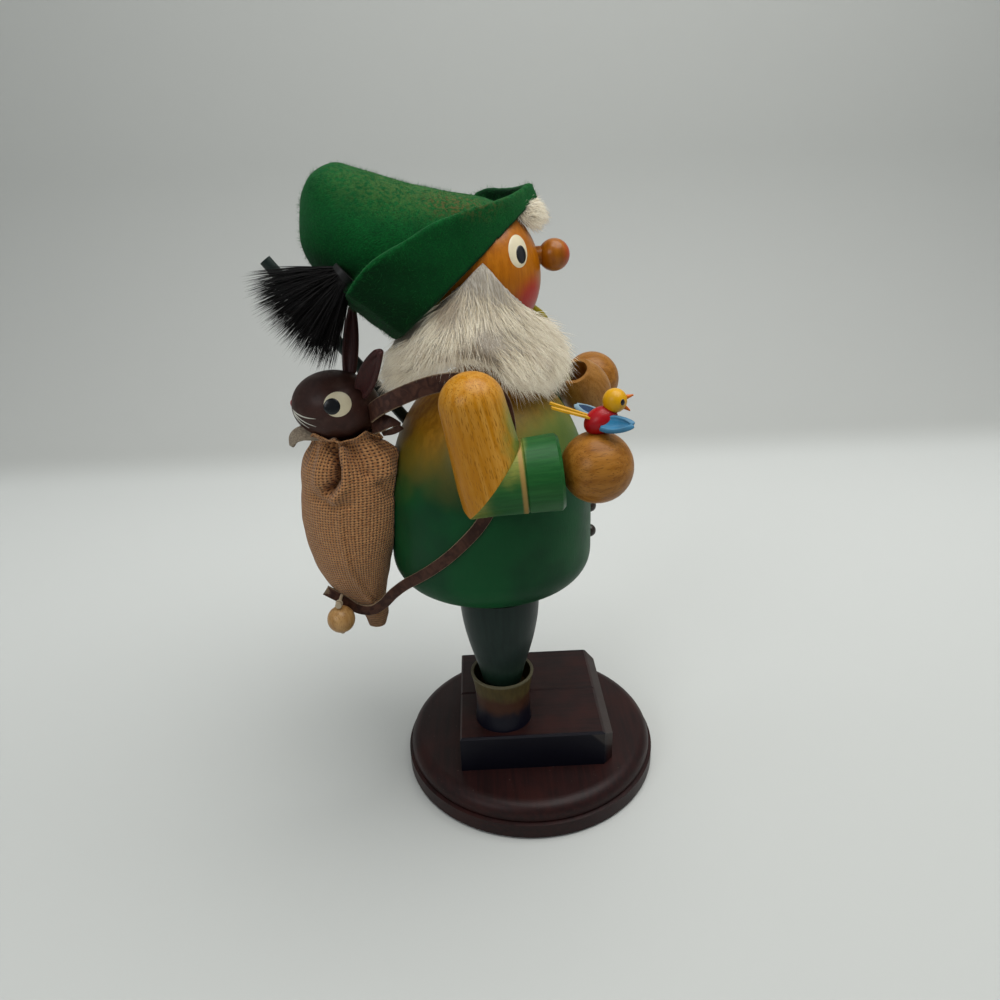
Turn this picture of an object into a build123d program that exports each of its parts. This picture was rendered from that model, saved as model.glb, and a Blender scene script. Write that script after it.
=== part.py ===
"""Turned wooden incense smoker: a bearded forest hunter who carries a hare in a sack.

Frame: origin at the centre of the base disc's underside, +Z up. The figure faces -Y, so its
right side is -X. All lengths are millimetres, all directions are degrees.
"""
from build123d import *
import math
import os

os.makedirs("parts", exist_ok=True)

# Fits that every piece shares
peg_gap = 0.1
seat_gap = 0.2
running_gap = 0.3
overrun = 4

# Base disc
base_diameter = 100
base_height = 13
base_edge_break = 0.6
groove_height = 6.6
groove_width = 0.9
groove_depth = 1.2
tier_step = 1.2
tier_round = 5

# Shoes: a pair of sawn blocks that meet on the centre plane
shoe_width = 28
shoe_length = 58
shoe_height = 14.8
shoe_heel_y = 27.8
toe_bevel_length = 4.3
toe_bevel_drop = 3
toe_corner = 3.5
shoe_edge_break = 0.7

# Boots: turned cups
boot_height = 21
boot_foot_radius = 10.8
boot_waist_radius = 10.2
boot_rim_radius = 11.9
boot_rim_wall = 1.1
boot_hollow_depth = 7

# Legs
leg_spread = 14.5
leg_set_back = 10.9
leg_length = 42
leg_top_radius = 14.2
leg_outline_shares = [(0, 0.45), (0.11, 0.53), (0.24, 0.62), (0.37, 0.73), (0.6, 0.9), (0.84, 1), (1, 1)]
leg_tenon_radius = 4.5
leg_tenon_length = 7

# Hip block: the plug that the body lifts off
body_y = 12.8
hip_flange_height = 4
hip_flange_step = 2.7
plug_height = 7
air_hole_diameter = 5
air_hole_share = 0.74

# Incense tray
tray_diameter = 24
tray_depth = 2.2
tray_sheet = 0.5
tack_head_diameter = 4
tack_head_height = 0.8
tack_shank_diameter = 1.4
tack_length = 5

# Body shell
body_radius = 36.6
body_height = 77.4
body_corner = 11
body_belt_height = 18
body_dome_power = 2.6
body_dome_reach = 61
chamber_radius = 22
chamber_height = 46
chamber_dome = 13
neck_radius = 9.5
neck_height = 12.6
spigot_radius = 6.5
spigot_height = 7
smoke_hole_diameter = 8

# Coat buttons
button_radius = 2.4
button_peg_radius = 0.9
button_peg_length = 4
button_height_shares = [("low", 0.19), ("middle", 0.32), ("top", 0.45)]

# Head and nose
head_radius = 19.3
head_rise = 23
head_drop = 20.5
head_seat_drop = 17
mouth_diameter = 5
mouth_drop = 5.5
nose_radius = 5.1
nose_lift = 6.3
nose_collar_radius = 2.9
nose_peg_radius = 2
nose_peg_length = 6

# Arms: tapered stock, mitred at the elbow
shoulder_y = 17.4
shoulder_drop = 30
upper_arm_length = 24.1
forearm_length = 20.6
arm_shoulder_radius = 9.65
arm_elbow_radius = 10.9
arm_cuff_radius = 11.65
arm_dome_height = 9.2
cuff_edge_break = 1
cuff_ring_inset = 10.8
cuff_ring_depth = 0.4
elbow_flat = 2.4
hand_radius = 10.9
arm_dowel_radius = 3
arm_dowel_length = 16
wrist_dowel_radius = 2.5
wrist_dowel_length = 14
right_arm_lean = 12.4
right_arm_rise = 5.2
right_arm_splay = 0
left_arm_lean = 44.3
left_arm_rise = 3.3
left_arm_splay = 9

# Pipe
bowl_radius = 9.6
bowl_length = 21
bowl_rim_radius = 5.9
bowl_hole_diameter = 9
bowl_hole_depth = 11
bowl_peg_radius = 1.6
bowl_peg_length = 8
stem_diameter = 3.6
stem_bend_radius = 12

# Beard, forelock
beard_length = 69
beard_radius = 30.5
forelock_length = 15

# Felt hat
felt = 2.4
hat_length = 60
hat_height = 51
hat_tilt = 41.15
hat_seat_y = 2.85
hat_seat_lift = 5.05
crown_width = 45
brim_height = 22

# Hat brush
tuft_length = 27.5
tuft_half_angle = 37
tuft_root_radius = 3.6
tuft_strands = 300
tuft_backing = 1.2
strand_root_radius = 0.12
strand_tip_radius = 0.42
ferrule_wall = 0.5
ferrule_length = 3.4

# Rifle barrel
barrel_diameter = 4.2
barrel_length = 79
barrel_lean = 36.9
barrel_x = 12
barrel_bore_diameter = 1.8
barrel_bore_depth = 3

# Bird on the right hand
bird_length = 10.4
bird_radius = 3.9
bird_head_radius = 3.56
bird_peg_radius = 0.8
bird_peg_length = 7
beak_length = 4.6
beak_radius = 1.3
wing_length = 9.6
wing_thickness = 1.1
tail_length = 13
tail_width = 1.6
tail_thickness = 0.6

# Sack and hare
sack_x = -8
sack_length = 74
sack_radius = 16
hare_head_length = 29.2
hare_head_radius = 11.8
hare_nose_radius = 1.8
ear_length = 23
ear_width = 6.4
ear_thickness = 2.6

# Strap, bead
strap_width = 4.4
strap_thickness = 0.9
strap_knot_size = 5
strap_knot_drop = 2.5
tongue_length = 9
tongue_width = 4.6
bead_radius = 4.9
bead_bore_diameter = 1.4
thread_diameter = 0.6
thread_loop_radius = 1
tie_radius = 0.55

# Heights and places that follow from the sizes above
base_radius = base_diameter / 2
tier_radius = base_radius - tier_step
shoe_top = base_height + shoe_height
boot_top = shoe_top + boot_height
boot_floor = boot_top - boot_hollow_depth
leg_top = boot_floor + leg_length
flange_top = leg_top + hip_flange_height
plug_top = flange_top + plug_height
plug_radius = chamber_radius - running_gap
hip_flange_radius = plug_radius + hip_flange_step
body_foot = leg_top + seat_gap
body_belt = body_foot + body_belt_height
neck_foot = body_foot + body_height
neck_top = neck_foot + neck_height
head_centre_z = neck_top + head_seat_drop
shoulder_z = head_centre_z - shoulder_drop
body_axis = Axis((0, body_y, 0), (0, 0, 1))


def body_radius_at(z):
    """Outer radius of the turned body at height z, from its foot to the neck."""
    if z <= body_belt:
        return body_radius
    share = min((z - body_belt) / body_dome_reach, 1)
    return max(body_radius * math.sqrt(1 - share**body_dome_power), neck_radius)


def beside_body(y, z, radius):
    """Distance from the centre plane at which a ball at y, z just touches the body."""
    reach = [0]
    for step in range(-9, 10):
        height = radius * step / 10
        surface = body_radius_at(z + height) ** 2 - (y - body_y) ** 2
        if surface > 0:
            reach.append(math.sqrt(surface) + math.sqrt(radius**2 - height**2))
    return max(reach)


def about_body(angle, radius, z):
    """Point at an angle round the body's axis, from the front (0) towards the right (90)."""
    turn = math.radians(angle)
    return Vector(-radius * math.sin(turn), body_y - radius * math.cos(turn), z)


def turned(outline, foot, direction, across=(1, 0, 0)):
    """Solid turned from an outline of (radius, distance along the axis) points and arcs."""
    across = Vector(across)
    direction = Vector(direction)
    plane = Plane(origin=foot, x_dir=across, z_dir=across.cross(direction))
    with BuildPart() as piece:
        with BuildSketch(plane):
            with BuildLine():
                outline()
            make_face()
        revolve(axis=Axis(foot, direction))
    return piece.part


def oval(radius, drop, rise, foot=0, start=-1):
    """Half an egg from its lower pole (or from its waist, start=0) to its upper pole.

    The poles are flats of a small radius, so that the turned face has a rim at each end.
    """
    turns = [math.radians(start * 88 + (88 - start * 88) * step / 12) for step in range(13)]
    points = [(radius * math.cos(turn), foot + (rise if turn > 0 else drop) * math.sin(turn))
              for turn in turns]
    Spline(points)
    Line(points[-1], (0, points[-1][1]))
    if start < 0:
        Line((0, points[0][1]), points[0])
    return points


def ellipsoid(centre, direction, length, radius, across=(1, 0, 0)):
    """Solid of revolution with an elliptic outline, its long axis along the direction."""

    def outline():
        points = oval(radius, length / 2, length / 2)
        Line((0, points[-1][1]), (0, points[0][1]))

    return turned(outline, centre, direction, across)


def rod(start, end, radius):
    """Plain round rod between two points."""
    start = Vector(start)
    end = Vector(end)
    with BuildPart() as piece:
        with BuildSketch(Plane(origin=start, z_dir=end - start)):
            Circle(radius)
        extrude(amount=(end - start).length)
    return piece.part


# Base disc: a band, a scored groove and a rounded upper tier
with BuildPart() as base_disc:
    with BuildSketch(Plane.XZ):
        with BuildLine():
            Polyline(
                (0, base_height),
                (0, 0),
                (base_radius - base_edge_break, 0),
                (base_radius, base_edge_break),
                (base_radius, groove_height - groove_width / 2),
                (tier_radius - groove_depth, groove_height),
                (tier_radius, groove_height + groove_width / 2),
                (tier_radius, base_height - tier_round),
            )
            RadiusArc(
                (tier_radius, base_height - tier_round),
                (tier_radius - tier_round, base_height),
                -tier_round,
            )
            Line((tier_radius - tier_round, base_height), (0, base_height))
        make_face()
    revolve(axis=Axis.Z)
base_disc.part.label = "base_disc"
export_step(base_disc.part, "parts/base_disc.step")

# Shoes, boots and legs, one of each on each side
toe_y = shoe_heel_y - shoe_length
for side, sign in (("right", -1), ("left", 1)):
    leg_axis = Axis((sign * leg_spread, leg_set_back, 0), (0, 0, 1))

    with BuildPart() as shoe:
        with BuildSketch(Plane.YZ):
            with BuildLine():
                Polyline(
                    (toe_y, base_height),
                    (shoe_heel_y, base_height),
                    (shoe_heel_y, shoe_top - shoe_edge_break),
                    (shoe_heel_y - shoe_edge_break, shoe_top),
                    (toe_y + toe_bevel_length, shoe_top),
                    (toe_y, shoe_top - toe_bevel_drop),
                    close=True,
                )
            make_face()
        extrude(amount=sign * shoe_width)
        toe_edges = shoe.edges().filter_by(Axis.Z).group_by(Axis.Y)[0]
        chamfer(toe_edges.sort_by(lambda edge: abs(edge.center().X))[-1], toe_corner)
        long_edges = shoe.edges().filter_by(Axis.Y).group_by(Axis.Z)[-1]
        chamfer(long_edges, shoe_edge_break)
    shoe.part.label = f"shoe_{side}"
    export_step(shoe.part, f"parts/shoe_{side}.step")

    with BuildPart() as boot:
        with BuildSketch(Plane((sign * leg_spread, leg_set_back, shoe_top), (1, 0, 0), (0, -1, 0))):
            with BuildLine():
                hollow_radius = boot_rim_radius - boot_rim_wall
                ThreePointArc(
                    (boot_foot_radius, 0),
                    (boot_waist_radius, boot_height / 3),
                    (boot_rim_radius, boot_height),
                )
                Polyline(
                    (boot_rim_radius, boot_height),
                    (hollow_radius, boot_height),
                    (hollow_radius - boot_rim_wall, boot_height - boot_hollow_depth),
                    (leg_tenon_radius + peg_gap, boot_height - boot_hollow_depth),
                    (leg_tenon_radius + peg_gap, boot_height - boot_hollow_depth - leg_tenon_length),
                    (0, boot_height - boot_hollow_depth - leg_tenon_length),
                    (0, 0),
                    (boot_foot_radius, 0),
                )
            make_face()
        revolve(axis=leg_axis)
    boot.part.label = f"boot_{side}"
    export_step(boot.part, f"parts/boot_{side}.step")

    with BuildPart() as leg:
        with BuildSketch(Plane((sign * leg_spread, leg_set_back, boot_floor), (1, 0, 0), (0, -1, 0))):
            with BuildLine():
                leg_points = [(radius * leg_top_radius, height * leg_length)
                              for height, radius in leg_outline_shares]
                Spline(leg_points)
                Polyline(
                    leg_points[-1],
                    (leg_tenon_radius, leg_length),
                    (leg_tenon_radius, leg_length + leg_tenon_length),
                    (0, leg_length + leg_tenon_length),
                    (0, -leg_tenon_length + peg_gap),
                    (leg_tenon_radius, -leg_tenon_length + peg_gap),
                    (leg_tenon_radius, 0),
                    leg_points[0],
                )
            make_face()
        revolve(axis=leg_axis)
    leg.part.label = f"leg_{side}"
    export_step(leg.part, f"parts/leg_{side}.step")

# Hip block: flange, plug, leg mortises and air holes
with BuildPart() as hip_block:
    with BuildSketch(Plane((0, body_y, leg_top))):
        Circle(hip_flange_radius)
    extrude(amount=hip_flange_height)
    with BuildSketch(Plane((0, body_y, flange_top))):
        Circle(plug_radius)
    extrude(amount=plug_height)
    with BuildSketch(Plane((0, 0, leg_top))):
        with Locations((-leg_spread, leg_set_back), (leg_spread, leg_set_back)):
            Circle(leg_tenon_radius + peg_gap)
    extrude(amount=leg_tenon_length + peg_gap, mode=Mode.SUBTRACT)
    air_hole_offset = plug_radius * air_hole_share
    with BuildSketch(Plane((0, body_y, leg_top))):
        with Locations((0, -air_hole_offset), (0, air_hole_offset)):
            Circle(air_hole_diameter / 2)
    extrude(amount=hip_flange_height + plug_height, mode=Mode.SUBTRACT)
    with BuildSketch(Plane((0, body_y, plug_top))):
        Circle(tack_shank_diameter / 2 + peg_gap)
    extrude(amount=-tack_length, mode=Mode.SUBTRACT)
hip_block.part.label = "hip_block"
export_step(hip_block.part, "parts/hip_block.step")

# Incense tray: a pressed tin dish with a hole for its tack
with BuildPart() as incense_tray:
    with BuildSketch(Plane((0, body_y, plug_top))):
        Circle(tray_diameter / 2)
    extrude(amount=tray_depth)
    with BuildSketch(Plane((0, body_y, plug_top + tray_sheet))):
        Circle(tray_diameter / 2 - tray_sheet)
    extrude(amount=tray_depth, mode=Mode.SUBTRACT)
    with BuildSketch(Plane((0, body_y, plug_top))):
        Circle(tack_shank_diameter / 2 + peg_gap)
    extrude(amount=tray_sheet, mode=Mode.SUBTRACT)
incense_tray.part.label = "incense_tray"
export_step(incense_tray.part, "parts/incense_tray.step")

with BuildPart() as tray_tack:
    with BuildSketch(Plane((0, body_y, plug_top + tray_sheet))):
        Circle(tack_head_diameter / 2)
    extrude(amount=tack_head_height)
    with BuildSketch(Plane((0, body_y, plug_top + tray_sheet))):
        Circle(tack_shank_diameter / 2)
    extrude(amount=-(tack_length - peg_gap))
tray_tack.part.label = "tray_tack"
export_step(tray_tack.part, "parts/tray_tack.step")


# Arm frames: each arm lies in an upright plane that the splay turns outwards
def arm_frame(sign, lean, rise, splay, gap):
    """Elbow, directions of the upper arm, forearm and sideways, for one arm."""
    forward = Vector(sign * math.sin(math.radians(splay)), -math.cos(math.radians(splay)), 0)
    sideways = Vector(math.cos(math.radians(splay)), sign * math.sin(math.radians(splay)), 0)
    upward = forward * -math.sin(math.radians(lean)) + Vector(0, 0, math.cos(math.radians(lean)))
    ahead = forward * math.cos(math.radians(rise)) + Vector(0, 0, math.sin(math.radians(rise)))
    elbow_y = shoulder_y - upper_arm_length * math.sin(math.radians(lean))
    elbow_z = shoulder_z - upper_arm_length * math.cos(math.radians(lean))
    elbow_x = beside_body(elbow_y, elbow_z, arm_elbow_radius) + gap
    return Vector(sign * elbow_x, elbow_y, elbow_z), upward, ahead, sideways


right_arm = arm_frame(-1, right_arm_lean, right_arm_rise, right_arm_splay,
                      strap_thickness + 3 * seat_gap)
left_arm = arm_frame(1, left_arm_lean, left_arm_rise, left_arm_splay, seat_gap)
hand_reach = forearm_length + hand_radius - seat_gap
right_hand = right_arm[0] + right_arm[2] * hand_reach
left_hand = left_arm[0] + left_arm[2] * hand_reach
arm_dowel_share = 0.3

# Places of the small pieces that sit in the body and the head
head_centre = Vector(0, body_y, head_centre_z)


def head_reach(lift):
    """Radius of the head at a height above its centre."""
    axis_half = head_rise if lift > 0 else head_drop
    return head_radius * math.sqrt(1 - (lift / axis_half) ** 2)


stem_x_share = 0.18
stem_drop_share = 0.42
stem_points = [
    head_centre + Vector(head_radius * stem_x_share, -head_radius * 0.68, -head_drop * stem_drop_share),
    head_centre + Vector(head_radius * 0.42, -head_radius * 1.07, -head_drop * 0.72),
]
bowl_axis = Vector(-0.5, 0.40, 0.77).normalized()
hand_to_bowl = Vector(-0.95, 0.27, 0.06).normalized()
bowl_centre = left_hand + hand_to_bowl * (hand_radius + bowl_radius)
stem_side_share = Vector(-0.5, 0.85, 0.25).normalized()
stem_points.append(bowl_centre + stem_side_share * (bowl_radius - stem_diameter / 2))
barrel_way = Vector(0, math.sin(math.radians(barrel_lean)), math.cos(math.radians(barrel_lean)))
barrel_seat_z = shoulder_z - body_radius * 0.58
barrel_seat_y = body_y + math.sqrt(max(body_radius_at(barrel_seat_z) ** 2 - barrel_x**2, 0))
barrel_root = Vector(barrel_x, barrel_seat_y, barrel_seat_z) - barrel_way * barrel_diameter * 1.5

# Body shell: the turned hollow coat with its smoke channel
with BuildPart() as body_shell:
    with BuildSketch(Plane((0, body_y, 0), (1, 0, 0), (0, -1, 0))):
        with BuildLine():
            steps = [0, 0.25, 0.45, 0.6, 0.72, 0.82, 0.9, 0.95, 1]
            dome_top = neck_foot - body_belt
            dome_points = [(body_radius_at(body_belt + dome_top * step), body_belt + dome_top * step)
                           for step in steps]
            channel_radius = smoke_hole_diameter / 2
            chamber_belt = body_foot + chamber_height
            rebate_radius = hip_flange_radius + running_gap
            rebate_top = body_foot + hip_flange_height
            Polyline(
                (chamber_radius, rebate_top),
                (rebate_radius, rebate_top),
                (rebate_radius, body_foot),
                (body_radius - body_corner, body_foot),
            )
            RadiusArc(
                (body_radius - body_corner, body_foot),
                (body_radius, body_foot + body_corner),
                -body_corner,
            )
            Line((body_radius, body_foot + body_corner), (body_radius, body_belt))
            Spline(dome_points, tangents=((0, 1), (-1, 0.6)))
            Polyline(
                dome_points[-1],
                (neck_radius, neck_top),
                (spigot_radius, neck_top),
                (spigot_radius, neck_top + spigot_height),
                (channel_radius, neck_top + spigot_height),
                (channel_radius, chamber_belt + chamber_dome),
            )
            ThreePointArc(
                (channel_radius, chamber_belt + chamber_dome),
                (chamber_radius * 0.76, chamber_belt + chamber_dome * 0.62),
                (chamber_radius, chamber_belt),
            )
            Line((chamber_radius, chamber_belt), (chamber_radius, rebate_top))
        make_face()
    revolve(axis=body_axis)
    for sign, arm in ((-1, right_arm), (1, left_arm)):
        dowel_end = arm[0] + arm[1] * (upper_arm_length * arm_dowel_share)
        dowel_start = dowel_end - Vector(sign * arm_dowel_length, 0, 0)
        add(rod(dowel_start, dowel_end, arm_dowel_radius + peg_gap), mode=Mode.SUBTRACT)
    for label, share in button_height_shares:
        button_z = body_foot + body_height * share
        button_y = body_y - body_radius_at(button_z)
        add(rod((0, button_y - overrun, button_z), (0, button_y + button_peg_length, button_z),
                button_peg_radius + peg_gap), mode=Mode.SUBTRACT)
    add(rod(barrel_root, barrel_root + barrel_way * barrel_length, barrel_diameter / 2 + peg_gap),
        mode=Mode.SUBTRACT)
body_shell.part.label = "body_shell"
export_step(body_shell.part, "parts/body_shell.step")

# Coat buttons: half balls on pegs, down the front
for label, share in button_height_shares:
    button_z = body_foot + body_height * share
    button_y = body_y - body_radius_at(button_z)
    with BuildPart() as coat_button:
        with Locations((0, button_y, button_z)):
            Sphere(button_radius)
        add(body_shell.part, mode=Mode.SUBTRACT)
        with BuildSketch(Plane((0, button_y, button_z), (1, 0, 0), (0, -1, 0))):
            Circle(button_radius + overrun)
        extrude(amount=-(button_radius + overrun), mode=Mode.SUBTRACT)
        with BuildSketch(Plane((0, button_y, button_z), (1, 0, 0), (0, -1, 0))):
            Circle(button_peg_radius)
        extrude(amount=-(button_peg_length - peg_gap))
    coat_button.part.label = f"coat_button_{label}"
    export_step(coat_button.part, f"parts/coat_button_{label}.step")

# Head: an egg with a flat seat, the smoke channel, the mouth and holes for nose and pipe stem
nose_reach = head_reach(nose_lift)
nose_centre = head_centre + Vector(0, -(nose_reach + nose_radius), nose_lift)
mouth_z = head_centre_z - mouth_drop
with BuildPart() as head:
    with BuildSketch(Plane(head_centre, (1, 0, 0), (0, -1, 0))):
        with BuildLine():
            head_points = oval(head_radius, head_drop, head_rise)
            Line((0, head_points[-1][1]), (0, head_points[0][1]))
        make_face()
    revolve(axis=body_axis)
    split(bisect_by=Plane.XY.offset(neck_top), keep=Keep.TOP)
    with BuildSketch(Plane((0, body_y, neck_top))):
        Circle(spigot_radius + peg_gap)
    extrude(amount=spigot_height + peg_gap, mode=Mode.SUBTRACT)
    with BuildSketch(Plane((0, body_y, neck_top))):
        Circle(smoke_hole_diameter / 2)
    extrude(amount=mouth_z + mouth_diameter / 2 - neck_top, mode=Mode.SUBTRACT)
    with BuildSketch(Plane((0, body_y, mouth_z), (1, 0, 0), (0, -1, 0))):
        Circle(mouth_diameter / 2)
    extrude(amount=head_radius + overrun, mode=Mode.SUBTRACT)
    add(rod(nose_centre, nose_centre + Vector(0, nose_radius + nose_peg_length, 0),
            nose_peg_radius + peg_gap), mode=Mode.SUBTRACT)
    add(rod(stem_points[0], stem_points[1], stem_diameter / 2 + peg_gap), mode=Mode.SUBTRACT)
head.part.label = "head"
export_step(head.part, "parts/head.step")

# Nose: a ball on a collar, with a peg into the head
with BuildPart() as nose:
    with Locations(nose_centre):
        Sphere(nose_radius)
    add(rod(nose_centre, head_centre + Vector(0, -nose_reach / 2, nose_lift), nose_collar_radius))
    add(ellipsoid(head_centre, (0, 0, 1), 2 * head_rise, head_radius), mode=Mode.SUBTRACT)
    add(rod(nose_centre, nose_centre + Vector(0, nose_radius + nose_peg_length - peg_gap, 0),
            nose_peg_radius))
nose.part.label = "nose"
export_step(nose.part, "parts/nose.step")

# Arms: upper arm and forearm meet on a mitre, the hand is a ball in the cuff's end
arm_parts = {}
for side, sign, arm, hand_centre in (
    ("right", -1, right_arm, right_hand),
    ("left", 1, left_arm, left_hand),
):
    elbow, upward, ahead, sideways = arm
    bisector = (upward + ahead).normalized()
    mitre = Plane(origin=elbow, z_dir=upward - ahead)
    half_turn = math.radians(upward.get_angle(ahead) / 2)
    corner_reach = arm_elbow_radius / math.sin(half_turn) - elbow_flat
    corner = Plane(origin=elbow - bisector * corner_reach, z_dir=bisector)
    arm_tail = arm_elbow_radius / math.tan(half_turn) + overrun
    dowel_end = elbow + upward * (upper_arm_length * arm_dowel_share)
    dowel_start = dowel_end - Vector(sign * arm_dowel_length, 0, 0)
    wrist = elbow + ahead * forearm_length

    def upper_arm_outline():
        dome_points = oval(arm_shoulder_radius, arm_dome_height, arm_dome_height, upper_arm_length, 0)
        Polyline(
            (0, dome_points[-1][1]),
            (0, -arm_tail),
            (arm_elbow_radius, -arm_tail),
            (arm_elbow_radius, 0),
            dome_points[0],
        )

    def forearm_outline():
        Polyline(
            (0, -arm_tail),
            (arm_elbow_radius, -arm_tail),
            (arm_elbow_radius, 0),
            (arm_cuff_radius - cuff_ring_depth, forearm_length - cuff_ring_inset - cuff_ring_depth),
            (arm_cuff_radius - 2 * cuff_ring_depth, forearm_length - cuff_ring_inset),
            (arm_cuff_radius - cuff_ring_depth, forearm_length - cuff_ring_inset + cuff_ring_depth),
            (arm_cuff_radius, forearm_length - cuff_edge_break),
            (arm_cuff_radius - cuff_edge_break, forearm_length),
            (0, forearm_length),
            close=True,
        )

    with BuildPart() as upper_arm:
        add(turned(upper_arm_outline, elbow, upward, sideways))
        split(bisect_by=mitre, keep=Keep.TOP)
        split(bisect_by=corner, keep=Keep.TOP)
        add(body_shell.part, mode=Mode.SUBTRACT)
        add(rod(dowel_start, dowel_end, arm_dowel_radius + peg_gap), mode=Mode.SUBTRACT)
    upper_arm.part.label = f"upper_arm_{side}"
    export_step(upper_arm.part, f"parts/upper_arm_{side}.step")

    with BuildPart() as hand:
        with Locations(hand_centre):
            Sphere(hand_radius)
        add(rod(wrist - ahead * (wrist_dowel_length / 2), wrist + ahead * (wrist_dowel_length / 2),
                wrist_dowel_radius + peg_gap), mode=Mode.SUBTRACT)
    hand.part.label = f"hand_{side}"

    with BuildPart() as forearm:
        add(turned(forearm_outline, elbow, ahead, sideways))
        split(bisect_by=mitre, keep=Keep.BOTTOM)
        split(bisect_by=corner, keep=Keep.TOP)
        with Locations(hand_centre):
            Sphere(hand_radius, mode=Mode.SUBTRACT)
        add(body_shell.part, mode=Mode.SUBTRACT)
        add(rod(wrist - ahead * (wrist_dowel_length / 2), wrist + ahead * (wrist_dowel_length / 2),
                wrist_dowel_radius + peg_gap), mode=Mode.SUBTRACT)
    forearm.part.label = f"forearm_{side}"
    export_step(forearm.part, f"parts/forearm_{side}.step")

    with BuildPart() as arm_dowel:
        dowel_slack = Vector(sign * peg_gap, 0, 0)
        add(rod(dowel_start + dowel_slack, dowel_end - dowel_slack, arm_dowel_radius))
    arm_dowel.part.label = f"arm_dowel_{side}"
    export_step(arm_dowel.part, f"parts/arm_dowel_{side}.step")

    with BuildPart() as wrist_dowel:
        half_dowel = ahead * (wrist_dowel_length / 2 - peg_gap)
        add(rod(wrist - half_dowel, wrist + half_dowel, wrist_dowel_radius))
    wrist_dowel.part.label = f"wrist_dowel_{side}"
    export_step(wrist_dowel.part, f"parts/wrist_dowel_{side}.step")

    arm_parts[side] = (upper_arm.part, forearm.part, hand)

# Pipe: a turned bowl pegged to the left hand, and a bent stem from the mouth
bowl_peg_middle = left_hand + hand_to_bowl * hand_radius
bowl_peg_half = hand_to_bowl * (bowl_peg_length / 2)
stem_way = (stem_points[2] - stem_points[1]).normalized()


def bowl_outline():
    bowl_foot_radius = bowl_rim_radius * 0.75
    Polyline(
        (bowl_rim_radius, bowl_length / 2),
        (bowl_hole_diameter / 2, bowl_length / 2),
        (bowl_hole_diameter / 2, bowl_length / 2 - bowl_hole_depth),
        (0, bowl_length / 2 - bowl_hole_depth),
        (0, -bowl_length / 2),
        (bowl_foot_radius, -bowl_length / 2),
    )
    Spline(
        (bowl_foot_radius, -bowl_length / 2),
        (bowl_radius * 0.93, -bowl_length / 4),
        (bowl_radius, 0),
        (bowl_radius * 0.9, bowl_length / 4),
        (bowl_rim_radius, bowl_length / 2),
    )


with BuildPart() as pipe_bowl:
    add(turned(bowl_outline, bowl_centre, bowl_axis, Vector(0, 0, 1).cross(bowl_axis).normalized()))
    with Locations(left_hand):
        Sphere(hand_radius, mode=Mode.SUBTRACT)
    add(arm_parts["left"][1], mode=Mode.SUBTRACT)
    add(rod(bowl_peg_middle - bowl_peg_half, bowl_peg_middle + bowl_peg_half,
            bowl_peg_radius + peg_gap), mode=Mode.SUBTRACT)
    add(rod(stem_points[2] - stem_way * bowl_length, stem_points[2] + stem_way * peg_gap,
            stem_diameter / 2 + peg_gap), mode=Mode.SUBTRACT)
pipe_bowl.part.label = "pipe_bowl"
export_step(pipe_bowl.part, "parts/pipe_bowl.step")

with BuildPart() as bowl_peg:
    bowl_peg_short = bowl_peg_half - hand_to_bowl * peg_gap
    add(rod(bowl_peg_middle - bowl_peg_short, bowl_peg_middle + bowl_peg_short, bowl_peg_radius))
bowl_peg.part.label = "bowl_peg"
export_step(bowl_peg.part, "parts/bowl_peg.step")

with BuildPart() as pipe_stem:
    with BuildLine():
        FilletPolyline(*stem_points, radius=stem_bend_radius)
    stem_start = (stem_points[1] - stem_points[0]).normalized()
    with BuildSketch(Plane(origin=stem_points[0], z_dir=stem_start)):
        Circle(stem_diameter / 2)
    sweep()
pipe_stem.part.label = "pipe_stem"
export_step(pipe_stem.part, "parts/pipe_stem.step")

# Bird on the right hand: egg body, ball head, open beak, two wings and a split tail
bird_centre = right_hand + Vector(0, -0.2 * bird_radius, hand_radius + 0.87 * bird_radius)
bird_way = Vector(0, -0.86, 0.5).normalized()
bird_head_centre = bird_centre + Vector(0, -0.76 * bird_length / 2, 1.1 * bird_length / 2)
bird_body_solid = ellipsoid(bird_centre, bird_way, bird_length, bird_radius)
bird_peg_top = right_hand + Vector(0, 0, hand_radius + bird_peg_length / 2)

with BuildPart() as hand_with_peg_hole:
    add(arm_parts["right"][2].part)
    add(rod(right_hand + Vector(0, 0, hand_radius - bird_peg_length / 2), bird_peg_top,
            bird_peg_radius + peg_gap), mode=Mode.SUBTRACT)
hand_with_peg_hole.part.label = "hand_right"
export_step(hand_with_peg_hole.part, "parts/hand_right.step")

with BuildPart() as hand_with_bowl_hole:
    add(arm_parts["left"][2].part)
    add(rod(bowl_peg_middle - bowl_peg_half, bowl_peg_middle + bowl_peg_half,
            bowl_peg_radius + peg_gap), mode=Mode.SUBTRACT)
hand_with_bowl_hole.part.label = "hand_left"
export_step(hand_with_bowl_hole.part, "parts/hand_left.step")

with BuildPart() as bird_body:
    add(bird_body_solid)
    with Locations(right_hand):
        Sphere(hand_radius, mode=Mode.SUBTRACT)
    add(rod(right_hand, bird_peg_top, bird_peg_radius + peg_gap), mode=Mode.SUBTRACT)
bird_body.part.label = "bird_body"
export_step(bird_body.part, "parts/bird_body.step")

with BuildPart() as bird_peg:
    add(rod(right_hand + Vector(0, 0, hand_radius - bird_peg_length / 2 + peg_gap),
            bird_peg_top - Vector(0, 0, peg_gap), bird_peg_radius))
bird_peg.part.label = "bird_peg"
export_step(bird_peg.part, "parts/bird_peg.step")

with BuildPart() as bird_head:
    with Locations(bird_head_centre):
        Sphere(bird_head_radius)
    add(bird_body_solid, mode=Mode.SUBTRACT)
bird_head.part.label = "bird_head"
export_step(bird_head.part, "parts/bird_head.step")

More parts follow.
